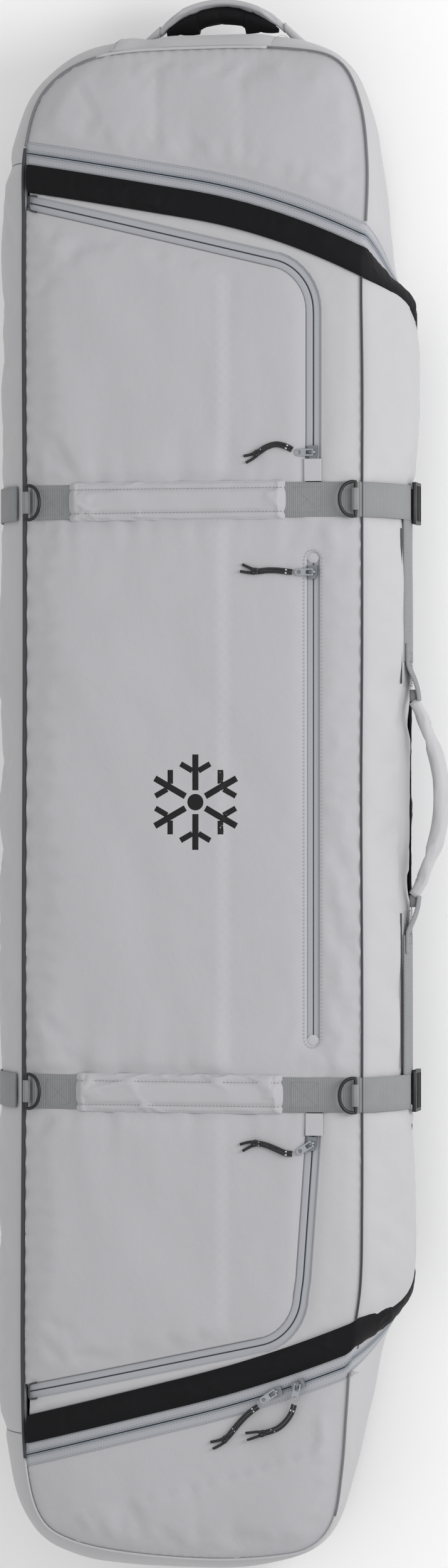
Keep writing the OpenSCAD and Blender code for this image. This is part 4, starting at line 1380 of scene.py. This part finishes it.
parts = [panel("star_%d" % i, front, [loop], print_ink, thick=0.5, lift=0.45, edge=0.3, roll=1, spacing=3,
               slack=0) for i, loop in enumerate(star_loops())]
star = join("star_print", parts)
settle(star, "lid", "emblem")
surface = bvhtree.BVHTree.FromPolygons([v.co for v in centre_skin.data.vertices],
                                       [f.vertices for f in centre_skin.data.polygons])
above = front_z(np.array([v.co[:2] for v in star.data.vertices]) / MM) * MM
for v, flat_height in zip(star.data.vertices, above):
    hit = surface.ray_cast(Vector((v.co.x, v.co.y, 1)), Vector((0, 0, -1)))[0]
    v.co.z += hit.z - flat_height

# ---------------------------------------------------------------- handles


def sweep(name, points, side, profile, material, scale=None):
    """Sweeps a closed profile of (across, out) points along 3-D points. side is the direction across."""
    p = np.array(points, float)
    side = np.array(side, float)
    out = unit(np.cross(unit(np.gradient(p, axis=0)), side))
    prof = np.array(profile, float)
    n = len(p)
    k = np.ones((n, 2)) if scale is None else np.array([scale(i / (n - 1)) for i in range(n)])
    verts = (p[:, None] + side * (prof[None, :, :1] * k[:, None, :1])
             + out[:, None] * (prof[None, :, 1:] * k[:, None, 1:])).reshape(-1, 3)
    return make_rings(name, verts, len(prof), material, swept_uv(lengths(p), prof))


def oval(width, thick, n=24, power=3.0):
    """An oval with full shoulders."""
    def part(half, c):
        return half * math.copysign(abs(c) ** (2 / power), c)
    turns = [2 * math.pi * k / n for k in range(n)]
    return [(part(width / 2, math.cos(a)), part(thick / 2, math.sin(a))) for a in turns]


def bow(half, reach, inset, n=48):
    """Middle line of an arch: how far along and how far out, from one pin to the other."""
    r = (half * half + reach * reach) / (2 * reach)
    a = math.asin(half / r)
    return np.array([((r - inset) * math.sin(t), reach - r + (r - inset) * math.cos(t))
                     for t in np.linspace(-a, a, n)])


CARRY_X, CARRY_Z = 234, 112         # the carry handle's pins


def webbing_loop(x, y, z, r, profile):
    """A loop of webbing round a pin that runs along the bag."""
    turn = [(x + r * math.cos(a), y, z + r * math.sin(a)) for a in np.linspace(0, 2 * math.pi, 25)]
    return sweep("loop", turn, (0, 1, 0), profile, webbing)


def taper(reach, wide, thick):
    """How a handle narrows over its two ends."""
    def scale(t):
        k = float(smooth(0, reach, min(t, 1 - t)))
        return wide + (1 - wide) * k, thick + (1 - thick) * k
    return scale


line = bow(103, 38, 7.2)
line = [(CARRY_X + b + 5 * float(smooth(62, 102, abs(a))), -a * 106.5 / line[-1, 0], CARRY_Z)
        for a, b in line]
grip = sweep("carry_grip", line, (0, 0, 1), oval(30, 14), gusset_fabric, scale=taper(0.2, 0.5, 0.8))
settle(grip, "carry_handle", "carry_handle")

parts = []
for s in (-1, 1):
    parts.append(webbing_loop(CARRY_X, s * 113, CARRY_Z, 4.4, flat_profile(13, -0.9, 0.9, 0.3)))
    z = CARRY_Z + 3
    lead = [right_wall([(s * y, z)], [o])[0] for y, o in ((170, 1.2), (156, 1.4), (145, 2.2))]
    lead += [(235.0, s * 130, z - 1), (238.2, s * 118, CARRY_Z), (239.6, s * 107.5, CARRY_Z)]
    parts.append(sweep("lead", spline3(lead), (0, 0, 1), flat_profile(28, -0.9, 0.9, 0.3), webbing,
                       scale=lambda t: (1 - 0.35 * float(smooth(0.3, 1, t)), 1)))
    y1 = STRAPS["upper"] - WEB / 2 if s > 0 else STRAPS["lower"] + WEB / 2
    parts.append(ribbon("tail", right_wall, [(s * 150, z), (y1, z)], flat_profile(30, 0.2, 2.4, 0.4),
                        webbing, step=4))
settle(join("carry_anchor_web", parts), "lid", "carry_anchors")
for s, name in ((1, "head"), (-1, "foot")):
    edge = right_wall([(s * y, 134) for y in np.linspace(126, 296, 40)], np.full(40, 0.5))
    settle(tube("carry_seam_" + name, edge, 0.9, piping_cloth, 8), "lid")
boxes = []
for s in (-1, 1):
    boxes += crossed_box(s * 124, s * 160, CARRY_Z - 8, CARRY_Z + 14)
settle(stitches("carry_anchor_stitches", right_wall, boxes, thread, pitch=3.2, length=2.2, over=2.3), "lid")

HAUL_X, HAUL_Y, HAUL_Z = 16, 853, 99        # the middle between the haul handle's pins
line = bow(74, 31, 3)
haul = sweep("haul_strap", [(HAUL_X + a, HAUL_Y + b, HAUL_Z) for a, b in line], (0, 0, 1),
             oval(34, 7.4, power=3.6), gusset_fabric, scale=taper(0.22, 0.36, 0.9))
settle(haul, "haul_handle", "haul_handle")


def loft(name, sections, material, slim=False):
    """A soft solid through upright oval sections: x, lowest and highest y, and width in z.
    A slim one narrows near the pins, so that it clears the wall as it swings."""
    sides = 20
    prof = np.array(oval(2, 2, sides, 3.0))
    verts = []
    for x, low, high, width in sections:
        for u, v in prof:
            y = (low + high) / 2 + v * (high - low) / 2
            half = min(width / 2, 3.5 + 0.75 * max(0.0, y - HAUL_Y + 3)) if slim else width / 2
            verts.append((x, y, HAUL_Z + u * half))
    return make_rings(name, verts, sides, material, [(x, z) for x, _, z in verts])


sections = []
arch = bow(74, 31, 7.0, 200)
for a in np.linspace(-63, 63, 120):
    high = HAUL_Y + float(np.interp(a, arch[:, 0], arch[:, 1]))
    pleat = abs(math.sin(a * math.pi / 23 + 0.4)) ** 0.5
    low = HAUL_Y - 3.6 + 11.8 * max(0.0, 1 - (a / 27) ** 2) ** 0.5 - 1.2 * pleat
    width = (29 - 2.4 * (1 - pleat)) * (0.55 + 0.45 * float(smooth(63, 40, abs(a))))
    sections.append((HAUL_X + a, min(low, high - 2), high, width))
# The pleats are painted near-black, as shade under the haul handle's arch.
pleats = loft("shaded_haul_pleats", sections, pleat_shade_cloth, slim=True)
settle(pleats, "haul_handle", "haul_lining")


def pinched(p, d):
    """The head patch is drawn in at both ends of the haul handle."""
    return sum(-4 * np.exp(-((p[:, 0] - head_t(x)) / 16) ** 2) for x in (HAUL_X - 74, HAUL_X + 74))


patch = np.array([(head_t(-92), 26), (head_t(92), 26), (head_t(92), 187), (head_t(-92), 187)])
parts = [panel("patch", wall, [patch], gusset_fabric, thick=4.6, lift=4, spacing=6, slack=0.2, shape=pinched)]
for s in (-1, 1):
    rise = []
    for u in np.linspace(0, 1, 12):
        middle = HAUL_Y + 1.5 - 20 * u
        rise.append((HAUL_X + s * (71 + 22 * u), middle - 6 - 5 * u, middle + 4.6, 17 + 11 * u))
    parts.append(loft("anchor", rise, gusset_fabric))
settle(join("head_patch_skin", parts), "tub", "head_patch")
edge = [[(head_t(x), 30), (head_t(x), 184)] for x in (-88, 88)]
settle(stitches("head_patch_stitches", wall, edge, thread, over=2.8), "tub")


def ends_of(rings, sides, keep=4):
    """Which points of a swept piece belong to its first and last rings."""
    ring = np.repeat(np.arange(rings), sides)
    return (ring < keep) | (ring >= rings - keep)


billow(grip, ends_of(48, 24), 0.02, 1.6)
billow(haul, ends_of(48, 24), 0.03, 1.4)
billow(pleats, ends_of(120, 20), 0.03, 1.2)
for pad, sides, most in soft_pads:
    rings = len(pad.data.vertices) // sides
    across = np.tile(np.arange(sides), rings)
    billow(pad, (across < 4) | (across >= sides - 2) | ends_of(rings, sides, 3), 0.04, most)
    smoother = pad.modifiers.new("soft", "SUBSURF")
    smoother.levels = smoother.render_levels = 1

# ---------------------------------------------------------------- hard parts

RING_X = 184                        # the rings' pins
RING_HALF, RING_OUT = 19, 18        # half a ring's length, and how far it reaches from its pin
RING_TILT = math.radians(25)
RING_Z = SEAM_Z + CROWN * (1 - (RING_X / CROWN_REACH) ** 4) + 6.6
parts = []
for key, y in STRAPS.items():
    for side, word in ((-1, "left"), (1, "right")):
        outline = [(RING_OUT * math.cos(a) ** 0.8, RING_HALF * math.sin(a))
                   for a in np.linspace(-math.pi / 2, math.pi / 2, 25)]
        outline += [(0, q) for q in np.linspace(RING_HALF - 4, -RING_HALF + 4, 8)]
        pts = [(side * (RING_X - p * math.cos(RING_TILT)), y + q, RING_Z + p * math.sin(RING_TILT))
               for p, q in outline]
        name = "ring_%s_%s" % (key, word)
        ring = tube(name + "_wire", pts, 1.9, black_plastic, 10, closed=True)
        settle(ring, name, name)
        parts.append(webbing_loop(side * RING_X, y, RING_Z, 3.3, flat_profile(24, -0.8, 0.8, 0.3)))
settle(join("ring_loop_web", parts), "lid", "ring_loops")


def finish_cad(node, material, bevel):
    """A CAD piece with softened edges and its own material."""
    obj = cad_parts[node]
    obj.data.materials.clear()
    obj.data.materials.append(material)
    weld = obj.modifiers.new("weld", "WELD")
    weld.merge_threshold = 1e-5
    soft = obj.modifiers.new("bevel", "BEVEL")
    soft.width, soft.segments, soft.limit_method = bevel * MM, 2, "ANGLE"


for key in STRAPS:
    finish_cad("ladder_lock_" + key, black_plastic, 0.7)
for key in ROUTES:
    finish_cad("slider_" + key, slider_metal, 0.5)
    finish_cad("tab_" + key, tab_metal, 0.35)

# ---------------------------------------------------------------- pull cords

CORD = 3.0              # thickness of the pull cords


def frame_at(line, i):
    """A line's direction at one of its points, and the two directions across it."""
    d = line[min(i + 1, len(line) - 1)] - line[max(i - 1, 0)]
    d /= np.linalg.norm(d)
    u = np.cross((0.0, 0.0, 1.0), d)
    u /= np.linalg.norm(u)
    return d, u, np.cross(d, u)


for key in ROUTES:
    line = spline3(ROUTES[key], 5)
    n = len(line)
    knot_at = int(n * 0.72)
    strands = []
    for s in (-1, 1):
        pts = []
        for i, p in enumerate(line):
            d, u, v = frame_at(line, i)
            w = 1.7 * s * (1 if i < knot_at else 1 + 1.5 * (i - knot_at) / (n - knot_at))
            pts.append(p + u * w + np.array([0, 0, 0.4 * s * math.sin(i / 4)]))
        strands.append(np.array(pts))
    main = tube("cord_%s_strand" % key, strands[0], CORD / 2, cord_cloth, 10)
    other = tube("cord_%s_return" % key, strands[1], CORD / 2, cord_cloth, 10)
    d, u, v = frame_at(line, knot_at)
    c = line[knot_at]
    knot = []
    for t in np.linspace(0, 2 * math.pi, 60, endpoint=False):
        knot.append(c + d * (2.6 * math.sin(3 * t)) + u * (2.0 * (math.sin(t) + 2 * math.sin(2 * t)) / 2.2)
                    + v * (1.6 * (math.cos(t) - 2 * math.cos(2 * t)) / 2.2 + 0.8))
    tied = tube("cord_%s_knot" % key, knot, CORD / 2, cord_cloth, 8, closed=True)
    settle(main, "pull_" + key, "cord_" + key)
    for piece in (other, tied):
        settle(piece, "pull_" + key)

# ---------------------------------------------------------------- room and light

FLOOR = 40.0            # half the floor's side, in metres


def add_floor():
    mesh = bpy.data.meshes.new("floor")
    corners = ((-1, -1), (1, -1), (1, 1), (-1, 1))
    mesh.from_pydata([(x * FLOOR, y * FLOOR, -0.001) for x, y in corners], [], [(0, 1, 2, 3)])
    paper = Nodes("floor")
    paper.set(Base_Color=(0.9, 0.9, 0.9, 1), Roughness=0.9)
    mesh.materials.append(paper.material)
    obj = bpy.data.objects.new("floor", mesh)
    bpy.context.scene.collection.objects.link(obj)


add_floor()
world = bpy.data.worlds.new("studio")
bpy.context.scene.world = world
world.use_nodes = True
sky = world.node_tree.nodes["Background"].inputs
sky["Color"].default_value = (1, 1, 1, 1)
sky["Strength"].default_value = 0.75


def area_light(name, place, size, power):
    data = bpy.data.lights.new(name, "AREA")
    data.shape = "RECTANGLE"
    data.size, data.size_y = size
    data.energy = power
    lamp = bpy.data.objects.new(name, data)
    lamp.location = place
    aim = Vector((0.03, 0, 0.15)) - Vector(place)
    lamp.rotation_euler = aim.to_track_quat("-Z", "Y").to_euler()
    bpy.context.scene.collection.objects.link(lamp)


area_light("key", (2.4, 0.5, 1.7), (1.0, 2.2), 50)
area_light("fill", (-0.9, -0.6, 3.2), (2.0, 2.6), 9)
bpy.context.scene.view_settings.view_transform = "Standard"
